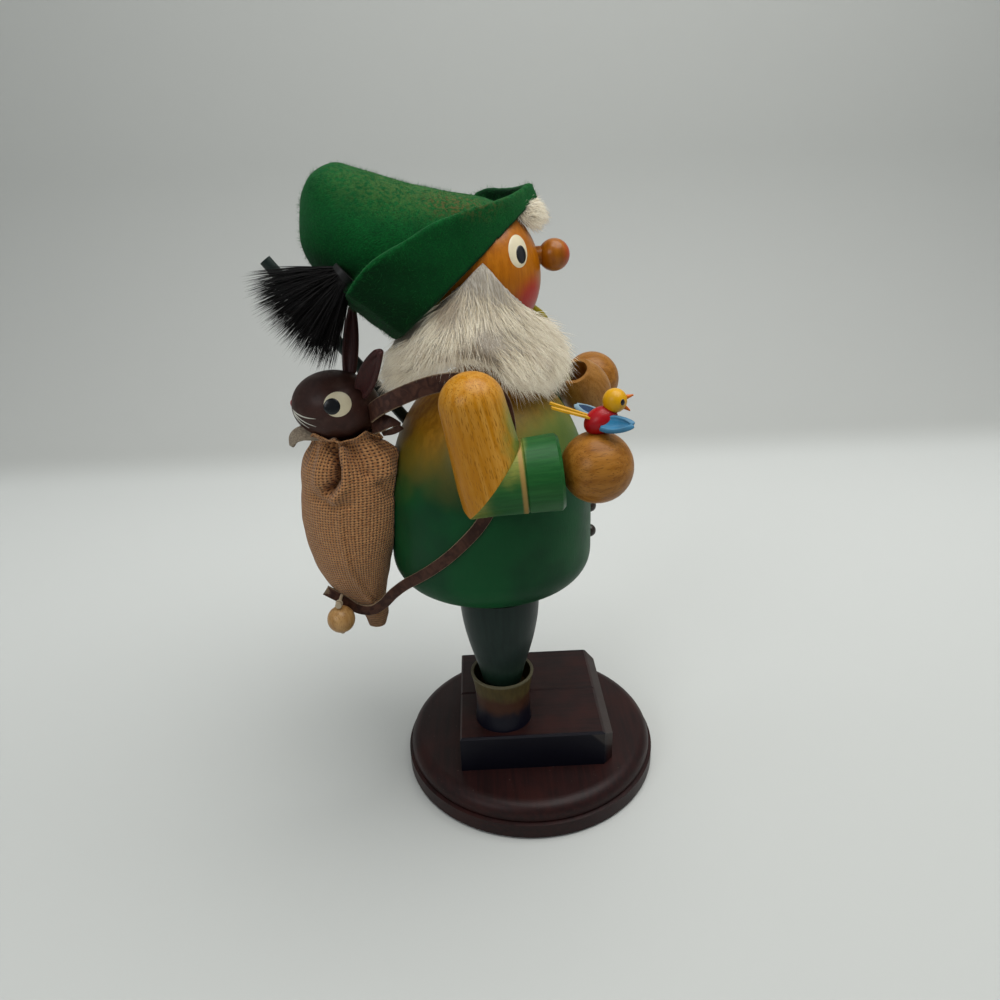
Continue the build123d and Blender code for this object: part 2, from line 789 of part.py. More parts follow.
with BuildPart() as bird_beak:
    for beak_turn in (15, -35):
        beak_way = Vector(0, -math.cos(math.radians(beak_turn)), math.sin(math.radians(beak_turn)))
        beak_middle = bird_head_centre + beak_way * beak_length / 2 * 1.4
        with Locations(Plane(origin=beak_middle, z_dir=beak_way)):
            Cone(beak_radius, beak_radius / 6, beak_length)
    with Locations(bird_head_centre):
        Sphere(bird_head_radius, mode=Mode.SUBTRACT)
bird_beak.part.label = "bird_beak"
export_step(bird_beak.part, "parts/bird_beak.step")

for side, sign, wing_way in (("right", -1, Vector(-0.55, -0.83, 0.05)),
                             ("left", 1, Vector(0.75, 0.62, 0.2))):
    wing_root = bird_centre + Vector(sign * bird_radius * 0.6, 0, 0)
    wing_flat = Vector(0, 0, 1).cross(wing_way).normalized()
    with BuildPart() as bird_wing:
        wing_underside = wing_root - wing_flat * (wing_thickness / 2)
        with BuildSketch(Plane(origin=wing_underside, x_dir=wing_way, z_dir=wing_flat)):
            with Locations((wing_length / 2, 0)):
                Ellipse(wing_length / 2, wing_length / 4)
        extrude(amount=wing_thickness)
        add(bird_body_solid, mode=Mode.SUBTRACT)
        with Locations(right_hand):
            Sphere(hand_radius, mode=Mode.SUBTRACT)
    bird_wing.part.label = f"bird_wing_{side}"
    export_step(bird_wing.part, f"parts/bird_wing_{side}.step")

with BuildPart() as bird_tail:
    tail_way = Vector(0, 0.95, 0.33).normalized()
    tail_root = bird_centre + tail_way * (bird_length / 4)
    for sign in (-1, 1):
        strip_way = (tail_way + Vector(sign * 0.12, 0, 0)).normalized()
        with BuildSketch(Plane(origin=tail_root, x_dir=(1, 0, 0), z_dir=strip_way)):
            with Locations((sign * tail_width * 0.7, 0)):
                Rectangle(tail_width, tail_thickness)
        extrude(amount=tail_length)
    add(bird_body_solid, mode=Mode.SUBTRACT)
bird_tail.part.label = "bird_tail"
export_step(bird_tail.part, "parts/bird_tail.step")

# Sack and hare: the sack leans on the back, the hare's head rests in its mouth
sack_top = shoulder_z - upper_arm_length * 0.8
sack_foot = sack_top - sack_length
sack_y = body_y + body_radius + sack_radius * 0.85
sack_section_shares = [
    (0.0, -0.37, 0.19, 0.16), (0.06, -0.37, 0.28, 0.25), (0.17, -0.16, 0.5, 0.41),
    (0.30, -0.03, 0.75, 0.62), (0.44, 0.0, 0.92, 0.78), (0.60, 0.0, 1.0, 0.84),
    (0.76, -0.06, 1.0, 0.84), (0.90, -0.09, 0.91, 0.75), (0.965, -0.09, 0.66, 0.59),
    (1.0, -0.09, 0.6, 0.53),
]
hare_centre = Vector(sack_x, sack_y, sack_top + hare_head_radius * 0.9)
hare_way = Vector(0, 0.995, 0.1).normalized()
hare_head_solid = ellipsoid(hare_centre, hare_way, hare_head_length, hare_head_radius)

with BuildPart() as hare_head:
    add(hare_head_solid)
    add(body_shell.part, mode=Mode.SUBTRACT)
hare_head.part.label = "hare_head"
export_step(hare_head.part, "parts/hare_head.step")

with BuildPart() as hare_nose:
    with Locations(hare_centre + hare_way * (hare_head_length / 2 - hare_nose_radius * 0.7)):
        Sphere(hare_nose_radius)
    add(hare_head_solid, mode=Mode.SUBTRACT)
hare_nose.part.label = "hare_nose"
export_step(hare_nose.part, "parts/hare_nose.step")

ear_open = Vector(-0.92, 0.3, 0.25)
for side, ear_foot_share, ear_way in (
    ("right", Vector(-0.5, -0.86, 0.50), Vector(-0.60, -0.40, 0.69).normalized()),
    ("left", Vector(0.42, -0.42, 0.78), Vector(0.31, -0.1, 0.945).normalized()),
):
    ear_foot = hare_centre + ear_foot_share * hare_head_radius
    ear_flat = (ear_open - ear_way * ear_open.dot(ear_way)).normalized()
    ear_plane = Plane(origin=ear_foot - ear_flat * (ear_thickness / 2), x_dir=ear_way, z_dir=ear_flat)
    with BuildPart() as hare_ear:
        with BuildSketch(ear_plane):
            with BuildLine():
                ear_side = [(0, ear_width * 0.28), (ear_length * 0.6, ear_width / 2), (ear_length, 0)]
                ThreePointArc(*ear_side)
                ThreePointArc(*[(x, -y) for x, y in ear_side])
                Line(ear_side[0], (0, -ear_side[0][1]))
            make_face()
        extrude(amount=ear_thickness)
        with BuildSketch(ear_plane.offset(ear_thickness)):
            with Locations((ear_length * 0.55, 0)):
                Ellipse(ear_length * 0.3, ear_width * 0.26)
        extrude(amount=-ear_thickness / 3, taper=30, mode=Mode.SUBTRACT)
        add(hare_head_solid, mode=Mode.SUBTRACT)
    hare_ear.part.label = f"hare_ear_{side}"
    export_step(hare_ear.part, f"parts/hare_ear_{side}.step")

# Strap: from the hare's neck over the right shoulder, round the body and under the sack.
# Each row: angle round the body, distance from its axis (0 lies on the coat), height from the
# body's foot to the shoulder, and the direction that the face looks
strap_rows_shares = [
    (158, 1.12, 0.87, 158), (151, 1.13, 0.90, 150), (146, 1.09, 0.93, 140), (141, 0.99, 0.96, 130),
    (132, 0.88, 0.995, 115), (121, 0.79, 1.02, 100), (104, 0.755, 1.03, 95), (90, 0.79, 1.01, 90),
    (84, 0.835, 0.965, 86), (81.5, 0.855, 0.90, 83), (80.5, 0.88, 0.80, 81), (82, 0, 0.68, 82),
    (88, 0, 0.56, 88), (96, 0, 0.455, 96), (104, 0, 0.375, 104), (113, 0, 0.30, 113),
    (122.5, 0, 0.23, 122.5), (132.5, 0, 0.165, 132.5), (143, 1.05, 0.10, 130), (151.5, 1.11, 0.03, 110),
    (157.5, 1.18, -0.04, 95), (161, 1.29, -0.08, 90), (163.2, 1.42, -0.07, 90), (165, 1.55, -0.02, 90),
    (166.5, 1.70, 0.03, 90),
]
strap_lift = seat_gap + strap_thickness / 2
strap_middle = []
strap_faces = []
for angle, radius_share, height_share, face_angle in strap_rows_shares:
    height = body_foot + (shoulder_z - body_foot) * height_share
    radius = body_radius * radius_share if radius_share else body_radius_at(height) + strap_lift
    strap_middle.append(about_body(angle, radius, height))
    strap_faces.append(about_body(face_angle, 1, 0) - Vector(0, body_y, 0))


def strap_section(index):
    """Plane across the strap, its x direction out of the strap's face."""
    before = strap_middle[max(index - 1, 0)]
    after = strap_middle[min(index + 1, len(strap_middle) - 1)]
    along = (after - before).normalized()
    face = strap_faces[index]
    face = (face - along * face.dot(along)).normalized()
    return Plane(origin=strap_middle[index], x_dir=face, z_dir=along)


with BuildPart() as strap:
    for index in range(len(strap_middle)):
        with BuildSketch(strap_section(index)):
            Rectangle(strap_thickness, strap_width)
    loft(ruled=True)
    add(hare_head_solid, mode=Mode.SUBTRACT)
    add(body_shell.part, mode=Mode.SUBTRACT)
strap.part.label = "strap"
export_step(strap.part, "parts/strap.step")

with BuildPart() as sack:
    for height, shift, depth, width in sack_section_shares:
        section_middle = (sack_x, sack_y + shift * sack_radius, sack_foot + height * sack_length)
        with BuildSketch(Plane(section_middle)):
            Ellipse(width * sack_radius, depth * sack_radius)
    loft()
    add(body_shell.part, mode=Mode.SUBTRACT)
    add(hare_head_solid, mode=Mode.SUBTRACT)
    add(strap.part, mode=Mode.SUBTRACT)
sack.part.label = "sack"
export_step(sack.part, "parts/sack.step")

# Rifle barrel: a rod that stands slanted in the coat's back
with BuildPart() as gun_barrel:
    add(rod(barrel_root + barrel_way * peg_gap, barrel_root + barrel_way * barrel_length,
            barrel_diameter / 2))
    with BuildSketch(Plane(origin=barrel_root + barrel_way * barrel_length, z_dir=barrel_way)):
        Circle(barrel_bore_diameter / 2)
    extrude(amount=-barrel_bore_depth, mode=Mode.SUBTRACT)
gun_barrel.part.label = "gun_barrel"
export_step(gun_barrel.part, "parts/gun_barrel.step")

# Felt hat: its rim plane is tipped back, local x runs to the front tip and local y to the left
hat_front = Vector(0, -math.cos(math.radians(hat_tilt)), math.sin(math.radians(hat_tilt)))
hat_up = Vector(0, math.sin(math.radians(hat_tilt)), math.cos(math.radians(hat_tilt)))
hat_seat = head_centre + Vector(0, hat_seat_y, hat_seat_lift)
half_hat = hat_length / 2
half_brim = crown_width * 0.53
crown_section_shares = [
    (0.0, -0.25, 0.9, 0.96), (0.235, -0.376, 0.886, 1.0), (0.47, -0.534, 0.75, 0.95),
    (0.686, -0.65, 0.613, 0.8), (0.875, -0.653, 0.403, 0.53), (0.97, -0.6, 0.233, 0.3),
]
crown_cavity_shares = crown_section_shares[:5]
brim_fold_shares = [(0.953, 0), (0.667, 0.40), (0.333, 0.69), (0, 0.88), (-0.333, 0.99), (-0.667, 1.02),
                    (-0.955, 0.94)]
brim_fold_rear_share = -1.18
brim_flare_shares = [(1.167, 0), (0.8, 0.71), (0.4, 1.03), (0, 1.2), (-0.333, 1.3), (-0.667, 1.32),
                     (-1.033, 1.22)]
brim_flare_rear_share = -1.283
brim_edge_shares = [(1.4, -0.05), (1.007, 0.209), (0.72, 0.309), (0.45, 0.5), (0.253, 0.627), (0.02, 0.755),
                    (-0.263, 0.85), (-0.5, 0.927), (-0.733, 0.973), (-1.003, 0.927), (-1.5, 0.95)]


def hat_plane(lift):
    """Plane parallel to the hat's rim, at a distance above it."""
    return Plane(origin=hat_seat + hat_up * lift, x_dir=hat_front, z_dir=hat_up)


def hat_place(front, left, lift):
    """Point given in the hat's own directions."""
    return hat_seat + hat_front * front + Vector(left, 0, 0) + hat_up * lift


def crown_solid(sections, inset, lift):
    """Loft of the crown's ovals, each drawn in by the inset and dropped by the lift."""
    with BuildPart() as crown:
        for height, shift, depth, width in sections:
            with BuildSketch(hat_plane(height * hat_height - lift)):
                with Locations((shift * half_hat, 0)):
                    Ellipse(depth * half_hat - inset, width * crown_width / 2 - inset)
        loft()
    return crown.part


def brim_outline(shares, rear_share, inset):
    """Outline of the brim: both sides from the front tip to the rear corners, and the rear."""
    front_scale = half_hat - inset
    side_scale = half_brim - inset
    side = [(front * front_scale, left * side_scale) for front, left in shares]
    Spline(side)
    Spline([(front, -left) for front, left in side])
    ThreePointArc(side[-1], (rear_share * front_scale, 0), (side[-1][0], -side[-1][1]))


def brim_solid(inset, lift):
    """Loft from the brim's fold up to its flared outline."""
    with BuildPart() as band:
        with BuildSketch(hat_plane(lift)):
            with BuildLine():
                brim_outline(brim_fold_shares, brim_fold_rear_share, inset)
            make_face()
        with BuildSketch(hat_plane(brim_height + lift)):
            with BuildLine():
                brim_outline(brim_flare_shares, brim_flare_rear_share, inset)
            make_face()
        loft(ruled=True)
    return band.part


crown_outside = crown_solid(crown_section_shares, 0, 0)
crown_inside = crown_solid(crown_cavity_shares, felt, seat_gap)

with BuildPart() as hat_crown:
    add(crown_outside)
    add(crown_inside, mode=Mode.SUBTRACT)
    add(head.part, mode=Mode.SUBTRACT)
hat_crown.part.label = "hat_crown"
export_step(hat_crown.part, "parts/hat_crown.step")

with BuildPart() as hat_brim:
    add(brim_solid(0, 0))
    add(brim_solid(felt, felt), mode=Mode.SUBTRACT)
    with BuildSketch(Plane(origin=hat_seat, x_dir=hat_front, z_dir=(-1, 0, 0))):
        with BuildLine():
            edge = [(front * half_hat, lift * brim_height) for front, lift in brim_edge_shares]
            Spline(edge)
            Polyline(edge[-1], (edge[-1][0], 2 * brim_height), (edge[0][0], 2 * brim_height), edge[0])
        make_face()
    extrude(amount=crown_width, both=True, mode=Mode.SUBTRACT)
    add(crown_outside, mode=Mode.SUBTRACT)
    add(head.part, mode=Mode.SUBTRACT)
hat_brim.part.label = "hat_brim"
export_step(hat_brim.part, "parts/hat_brim.step")

# Forelock: fur that sticks out under the hat's front
forelock_centre = head_centre + Vector(0, -head_radius * 0.86, head_rise * 0.77)
with BuildPart() as forelock:
    add(ellipsoid(forelock_centre, (1, 0, 0), forelock_length, forelock_length * 0.36, (0, 1, 0)))
    add(ellipsoid(head_centre, (0, 0, 1), 2 * head_rise, head_radius), mode=Mode.SUBTRACT)
    split(bisect_by=hat_plane(-seat_gap), keep=Keep.BOTTOM)
forelock.part.label = "forelock"
export_step(forelock.part, "parts/forelock.step")

# Beard: fur all round the head, under the hat, open at the face
beard_foot = neck_top - beard_length * 0.3
beard_section_shares = [
    (0.0, 0.12, 0.84, 0.72), (0.035, 0.09, 0.95, 0.82), (0.11, 0.07, 1.0, 0.885),
    (0.28, 0.1, 0.9, 0.84), (0.46, 0.06, 0.76, 0.75), (0.67, 0.01, 0.69, 0.7), (0.91, -0.03, 0.67, 0.67),
]
face_low = head_centre + Vector(0, -head_radius * 0.87, -head_drop / 2)
face_line = Vector(0, -0.672, -0.741).normalized()
face_plane = Plane(origin=face_low, z_dir=Vector(1, 0, 0).cross(face_line))
with BuildPart() as beard:
    for height, shift, depth, width in beard_section_shares:
        with BuildSketch(Plane((0, body_y + shift * beard_radius, beard_foot + height * beard_length))):
            Ellipse(width * beard_radius, depth * beard_radius)
    loft()
    split(bisect_by=hat_plane(-seat_gap), keep=Keep.BOTTOM)
    split(bisect_by=face_plane, keep=Keep.TOP)
    add(ellipsoid(head_centre, (0, 0, 1), 2 * head_rise, head_radius), mode=Mode.SUBTRACT)
    add(head.part, mode=Mode.SUBTRACT)
    add(body_shell.part, mode=Mode.SUBTRACT)
    add(rod(Vector(0, body_y, body_belt), head_centre, smoke_hole_diameter / 2 + seat_gap),
        mode=Mode.SUBTRACT)
    add(arm_parts["left"][0], mode=Mode.SUBTRACT)
    add(arm_parts["right"][0], mode=Mode.SUBTRACT)
    add(arm_parts["left"][1], mode=Mode.SUBTRACT)
    add(hare_head_solid, mode=Mode.SUBTRACT)
    add(strap.part, mode=Mode.SUBTRACT)
    add(rod(barrel_root, barrel_root + barrel_way * barrel_length, barrel_diameter / 2 + peg_gap),
        mode=Mode.SUBTRACT)
    add(nose.part, mode=Mode.SUBTRACT)
    add(rod(stem_points[0], stem_points[1], stem_diameter), mode=Mode.SUBTRACT)
    add(rod(stem_points[1], stem_points[2], stem_diameter), mode=Mode.SUBTRACT)
beard.part.label = "beard"
export_step(beard.part, "parts/beard.step")

# Hat brush: tapered three-sided bristles that fan out from a backing disc in a tin ferrule
tuft_root = hat_place(-half_hat * 1.06, -half_brim * 0.86, brim_height * 1.1)
tuft_way = Vector(-0.12, 0.74, -0.66).normalized()
tuft_across = Vector(0, 0, 1).cross(tuft_way).normalized()
tuft_plane = Plane(origin=tuft_root, x_dir=tuft_across, z_dir=tuft_way)
golden_turn = math.pi * (3 - math.sqrt(5))


def strand_face(centre, along, radius):
    """Three-sided outline of a bristle, square to its run."""
    return Plane(origin=centre, z_dir=along) * RegularPolygon(radius, 3)


strands = []
for index in range(tuft_strands):
    share = math.sqrt((index + 0.5) / tuft_strands)
    turn = index * golden_turn
    lean = math.radians(tuft_half_angle * share)
    out = tuft_plane.x_dir * math.cos(turn) + tuft_plane.y_dir * math.sin(turn)
    along = (tuft_way * math.cos(lean) + out * math.sin(lean)).normalized()
    foot = tuft_root + out * (share * (tuft_root_radius - 2 * strand_root_radius))
    unevenness = 0.9 + 0.1 * math.sin(index * 2.3)
    tip = foot + along * (tuft_length * unevenness)
    bristle = loft([strand_face(foot - along * tuft_backing / 2, along, strand_root_radius),
                    strand_face(tip, along, strand_tip_radius)], ruled=True)
    strands.append(bristle)

with BuildPart() as hat_tuft:
    with BuildSketch(tuft_plane):
        Circle(tuft_root_radius)
    extrude(amount=-tuft_backing)
    add(strands, clean=False)
hat_tuft.part.label = "hat_tuft"
export_step(hat_tuft.part, "parts/hat_tuft.step")

with BuildPart() as tuft_ferrule:
    with BuildSketch(tuft_plane):
        Circle(tuft_root_radius + ferrule_wall + peg_gap)
    extrude(amount=-ferrule_length)
    with BuildSketch(tuft_plane):
        Circle(tuft_root_radius + peg_gap)
    extrude(amount=-tuft_backing, mode=Mode.SUBTRACT)
    add(crown_outside, mode=Mode.SUBTRACT)
    add(hat_brim.part, mode=Mode.SUBTRACT)
tuft_ferrule.part.label = "tuft_ferrule"
export_step(tuft_ferrule.part, "parts/tuft_ferrule.step")

# Strap ends: a suede tongue beside the sack's neck and the tied flap behind the hare
tongue_root = Vector(sack_x - hare_head_radius * 0.9, sack_y + sack_radius * 0.3,
                     sack_top + tongue_width * 0.6)
tongue_way = Vector(-0.35, 0.85, 0.2).normalized()
with BuildPart() as strap_tongue:
    with BuildSketch(Plane(origin=tongue_root, x_dir=(0, 0, 1), z_dir=tongue_way)):
        Rectangle(tongue_width, strap_thickness)
    extrude(amount=tongue_length)
    add(hare_head_solid, mode=Mode.SUBTRACT)
    add(sack.part, mode=Mode.SUBTRACT)
strap_tongue.part.label = "strap_tongue"
export_step(strap_tongue.part, "parts/strap_tongue.step")

knot_plane = strap_section(2)
with BuildPart() as strap_knot:
    with BuildSketch(Plane(origin=knot_plane.origin + knot_plane.x_dir * (strap_thickness / 2),
                           x_dir=knot_plane.z_dir, z_dir=knot_plane.x_dir)):
        with Locations((0, -strap_knot_drop)):
            Rectangle(strap_knot_size, strap_knot_size + strap_knot_drop)
    extrude(amount=strap_thickness)
    add(strap.part, mode=Mode.SUBTRACT)
    add(hare_head_solid, mode=Mode.SUBTRACT)
strap_knot.part.label = "strap_knot"
export_step(strap_knot.part, "parts/strap_knot.step")

# Thread tie and bead: the bead's loop hangs on a stub of thread through the strap's end
tie_root = strap_middle[-2] + Vector(0, 0, strap_width * 0.4)
bead_x = tie_root.X - strap_thickness / 2 - bead_radius - 2 * running_gap
tie_end = Vector(bead_x - thread_loop_radius, tie_root.Y, tie_root.Z)
with BuildPart() as thread_tie:
    add(rod(tie_root, tie_end, tie_radius))
    add(rod(tie_end, tie_end + Vector(-2 * tie_radius, 0, 0), 2 * tie_radius))
    add(strap.part, mode=Mode.SUBTRACT)
thread_tie.part.label = "thread_tie"
export_step(thread_tie.part, "parts/thread_tie.step")

swing_axis_place = Vector(bead_x, tie_root.Y, tie_root.Z)
bead_centre = swing_axis_place - Vector(0, 0, thread_loop_radius + bead_radius + thread_diameter)
with BuildPart() as bead:
    with Locations(bead_centre):
        Sphere(bead_radius)
    add(rod(bead_centre - Vector(0, 0, bead_radius), bead_centre + Vector(0, 0, bead_radius),
            bead_bore_diameter / 2), mode=Mode.SUBTRACT)
bead.part.label = "bead"
export_step(bead.part, "parts/bead.step")

with BuildPart() as bead_thread:
    with Locations(Plane(origin=swing_axis_place, z_dir=(1, 0, 0))):
        Torus(thread_loop_radius, thread_diameter / 2)
    add(rod(swing_axis_place - Vector(0, 0, thread_loop_radius),
            bead_centre - Vector(0, 0, bead_radius), thread_diameter / 2))
    with Locations(bead_centre - Vector(0, 0, bead_radius)):
        Sphere(bead_bore_diameter * 0.75)
    with Locations(bead_centre):
        Sphere(bead_radius, mode=Mode.SUBTRACT)
    add(rod(swing_axis_place - Vector(0, 0, thread_loop_radius),
            bead_centre - Vector(0, 0, bead_radius), thread_diameter / 2))
bead_thread.part.label = "bead_thread"
export_step(bead_thread.part, "parts/bead_thread.step")

print("bead swing axis at", swing_axis_place)
print("parts written")
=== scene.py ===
# %% [markdown]
# # A turned incense smoker, dressed for the camera
# The wooden pieces come from the part's own solids, which are loaded as a fixed frame in metres.
# This lesson gives each of them a finish, and replaces the soft ones, such as the fur beard, the
# felt hat and the burlap sack, by meshes that are made as the real material behaves.

import math

import bmesh
import bpy
import numpy as np
from mathutils import Matrix, Vector
from mathutils.bvhtree import BVHTree


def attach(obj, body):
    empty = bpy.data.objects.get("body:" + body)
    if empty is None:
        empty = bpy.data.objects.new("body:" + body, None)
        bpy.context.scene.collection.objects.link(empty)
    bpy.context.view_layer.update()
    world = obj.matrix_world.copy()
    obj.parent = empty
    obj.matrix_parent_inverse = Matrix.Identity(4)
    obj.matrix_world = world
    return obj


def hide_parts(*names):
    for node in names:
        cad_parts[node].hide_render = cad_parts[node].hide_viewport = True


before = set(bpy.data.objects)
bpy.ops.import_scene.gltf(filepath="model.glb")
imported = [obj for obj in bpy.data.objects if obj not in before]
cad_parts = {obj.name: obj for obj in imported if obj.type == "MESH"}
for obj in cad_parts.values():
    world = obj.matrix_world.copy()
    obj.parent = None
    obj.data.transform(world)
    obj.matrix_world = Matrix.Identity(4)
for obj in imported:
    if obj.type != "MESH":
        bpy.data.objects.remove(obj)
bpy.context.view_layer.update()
MM = 0.001
print("nodes loaded:", len(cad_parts))

# %% [markdown]
# ## The camera
# The smoker stands on a table and the camera looks down on its right side. Its place and turn
# were worked out from the base disc, whose rim is an ellipse in the picture, and from the upright
# of the figure. A wide lens close by gives the strong taper from the hat down to the base.


# %% Camera
def add_object(name, data):
    """An object in the scene with this data."""
    item = bpy.data.objects.new(name, data)
    bpy.context.scene.collection.objects.link(item)
    return item


camera_data = bpy.data.cameras.new("camera")
camera_data.sensor_width = 36
camera_data.lens = 27.04
camera_data.clip_start = 0.01
camera = add_object("camera", camera_data)
bpy.context.scene.camera = camera
yaw, pitch, roll = (math.radians(angle) for angle in (-1.31, 22.43, -1.92))
ahead = Vector((math.cos(pitch) * math.cos(yaw), math.cos(pitch) * math.sin(yaw), -math.sin(pitch)))
level = ahead.cross(Vector((0, 0, 1))).normalized()
above = level.cross(ahead)
right = math.cos(roll) * level + math.sin(roll) * above
top = -math.sin(roll) * level + math.cos(roll) * above
turn = Matrix((right, top, -ahead)).transposed().to_4x4()
camera.matrix_world = Matrix.Translation(Vector((-253.8, 15.0, 217.2)) * MM) @ turn
print("camera at", tuple(round(value, 3) for value in camera.matrix_world.translation))

# %% [markdown]
# ## Shader maths
# Most finishes are sums: some grain, a spray of colour that fades with height, a few flecks.
# Written with nodes by hand that is dozens of lines, so small classes wrap the sockets and let
# plain sums add the Math nodes. Every finish reads Object coordinates, which are metres here.


# %% A socket that can be added and multiplied
class Sock:
    """A value inside a node tree. Sums with it add Math nodes."""

    def __init__(self, tree, socket):
        self.tree, self.socket = tree, socket

    def maths(self, operation, *values):
        return self.tree.node("ShaderNodeMath", {"operation": operation}, values)

    def sine(self):
        return self.maths("SINE", self)

    def size(self):
        return self.maths("ABSOLUTE", self)

    def step(self, low, high):
        """0 below low and 1 above high, with a soft step between them."""
        if low > high:
            return 1 - self.step(high, low)
        return self.tree.node("ShaderNodeMapRange", {"interpolation_type": "SMOOTHSTEP"},
                              (self, low, high, 0.0, 1.0))


def teach_sign(sign, operation):
    """Lets a sign such as + add a Math node, with the socket before or after the sign."""
    setattr(Sock, f"__{sign}__", lambda self, other: self.maths(operation, self, other))
    setattr(Sock, f"__r{sign}__", lambda self, other: self.maths(operation, other, self))


for sign, operation in (("add", "ADD"), ("sub", "SUBTRACT"), ("mul", "MULTIPLY"),
                        ("truediv", "DIVIDE"), ("pow", "POWER")):
    teach_sign(sign, operation)


# %% Node trees
class Nodes:
    """A node tree whose nodes are added together with what goes into them."""

    def __init__(self, tree):
        self.nodes, self.links = tree.nodes, tree.links

    def node(self, kind, settings, values, output=0):
        """Any node: its settings first, then its sockets by number or name."""
        node = self.nodes.new(kind)
        for name, value in settings.items():
            setattr(node, name, value)
        for key, value in values.items() if isinstance(values, dict) else enumerate(values):
            if isinstance(value, Sock):
                self.links.new(value.socket, node.inputs[key])
            else:
                node.inputs[key].default_value = value
        return Sock(self, node.outputs[output])

    def parts(self, vector):
        """The three numbers of a vector."""
        return [self.node("ShaderNodeSeparateXYZ", {}, (vector,), axis) for axis in range(3)]


# %% A finish
# Every base colour is made darker and a little richer: a painted shade over the whole smoker, for the
# dim light that falls on it.
PAINTED_SHADE = {"Saturation": 1.1, "Value": 0.8}


class Finish(Nodes):
    """One material. Keywords set the shader's plain sockets, such as Coat_Weight=0.4."""

    def __init__(self, name, **plain):
        self.material = bpy.data.materials.new(name)
        self.material.use_nodes = True
        super().__init__(self.material.node_tree)
        self.shader = self.nodes["Principled BSDF"]
        for socket, value in plain.items():
            self.shader.inputs[socket.replace("_", " ")].default_value = value
        self.place = self.node("ShaderNodeTexCoord", {}, (), "Object")
        self.x, self.y, self.z = self.parts(self.place)

    def mix(self, amount, first, second):
        """The first colour where amount is 0 and the second where it is 1."""
        first, second = ((*c, 1) if isinstance(c, tuple) else c for c in (first, second))
        return self.node("ShaderNodeMix", {"data_type": "RGBA"}, {0: amount, 6: first, 7: second}, 2)

    def reach(self, start, way):
        """How far a point lies from the start (mm) along a direction, in millimetres."""
        way = Vector(way).normalized()
        along = self.node("ShaderNodeVectorMath", {"operation": "DOT_PRODUCT"}, (self.place, way), 1)
        return along * 1000 - Vector(start).dot(way)

    def away(self, centre, squeeze=(1, 1, 1)):
        """Distance from a point (mm), in millimetres, with each axis squeezed by a factor."""
        parts = [((axis * 1000 - middle) * factor) ** 2
                 for axis, middle, factor in zip((self.x, self.y, self.z), centre, squeeze)]
        return (parts[0] + parts[1] + parts[2]) ** 0.5

    def grain(self, way, across, along):
        """Coordinates for a pattern with features of these sizes (mm) across and along a way."""
        way = Vector(way).normalized()
        side = way.orthogonal().normalized()
        parts = [self.reach((0, 0, 0), direction) / span
                 for direction, span in ((side, across), (way.cross(side), across), (way, along))]
        return self.node("ShaderNodeCombineXYZ", {}, parts)

    def noise(self, where=None, detail=3, distortion=0.0, span=1.0):
        """Soft noise from 0 to 1. Without coordinates, its features are span millimetres wide."""
        scale = 1.0 if where else 1000 / span
        return self.node("ShaderNodeTexNoise", {}, {
            "Vector": where or self.place, "Scale": scale, "Detail": detail, "Distortion": distortion})

    def patch(self, span, low, high, detail=4):
        """Patches with soft edges, where noise of this span (mm) passes from low to high."""
        return self.noise(span=span, detail=detail).step(low, high)

    def waver(self, span, reach, detail):
        """Noise of this span (mm) that goes half the reach to each side of 0."""
        return (self.noise(span=span, detail=detail) - 0.5) * reach

    def over(self, colour, layers):
        """A colour with (mask, colour) layers painted over it, the last on top."""
        for mask, tint in layers:
            colour = self.mix(mask, colour, tint)
        return colour

    def tone(self, name):
        """An attribute of the piece itself."""
        return self.node("ShaderNodeAttribute", {"attribute_name": name}, (), "Fac")

    def bump(self, height, depth):
        """Bump of this depth in millimetres."""
        normal = self.node("ShaderNodeBump", {}, {"Strength": 1.0, "Distance": depth * MM,
                                                  "Height": height}, "Normal")
        self.links.new(normal.socket, self.shader.inputs["Normal"])

    def feed(self, depth=PAINTED_SHADE, **values):
        """Links values to the shader's sockets, with the base colour darkened and enriched as a painted
        shade.
        """
        for socket, value in values.items():
            if socket == "Base_Color":
                value = self.node("ShaderNodeHueSaturation", {}, {**depth, "Color": value})
            self.links.new(value.socket, self.shader.inputs[socket.replace("_", " ")])


# %% [markdown]
# ## Stained and lacquered beech
# Every turned piece is beech. Beech shows short dark flecks along the grain and slow streaks
# between them. A stain goes over that, and on the coat and sleeves a second colour is sprayed on
# so that it fades into bare wood. One function makes all of these, with the grain's direction,
# the pale and dark tone, and a spray of colour as inputs.


# %% Wood finishes
def wood(name, pale, dark, grain=(0, 0, 1), flecks=0.6, roughness=0.42, coat=0.35, spray=None,
         gloss=0.25):
    """Beech under a thin coat. spray(finish) gives (mask, colour) pairs, the last on top."""
    finish = Finish(name, Coat_Weight=coat * 0.6, Coat_Roughness=gloss, Specular_IOR_Level=0.15)
    streaks = finish.noise(finish.grain(grain, 1.7, 26), 4, 0.4).step(0.34, 0.68)
    fine = finish.noise(finish.grain(grain, 0.35, 6), 2)
    dashes = finish.noise(finish.grain(grain, 0.32, 2.6), 1).step(0.58, 0.66) * flecks
    colour = finish.over(pale, ((streaks * 0.75 + fine * 0.25, dark),
                                (dashes, tuple(part * 0.55 for part in dark))))
    colour = finish.over(colour, spray(finish) if spray else ())
    wear = finish.noise(span=7.0, detail=4)
    finish.feed(Base_Color=colour, Roughness=wear * 0.18 + (roughness - 0.09))
    finish.bump(fine * 0.5 - dashes * 0.7, 0.05)
    return finish


# %% [markdown]
# The coat's green is strongest at the belt and fades upwards into amber wood. It was sprayed
# from the front, so the fade starts lower at the back than under the beard.


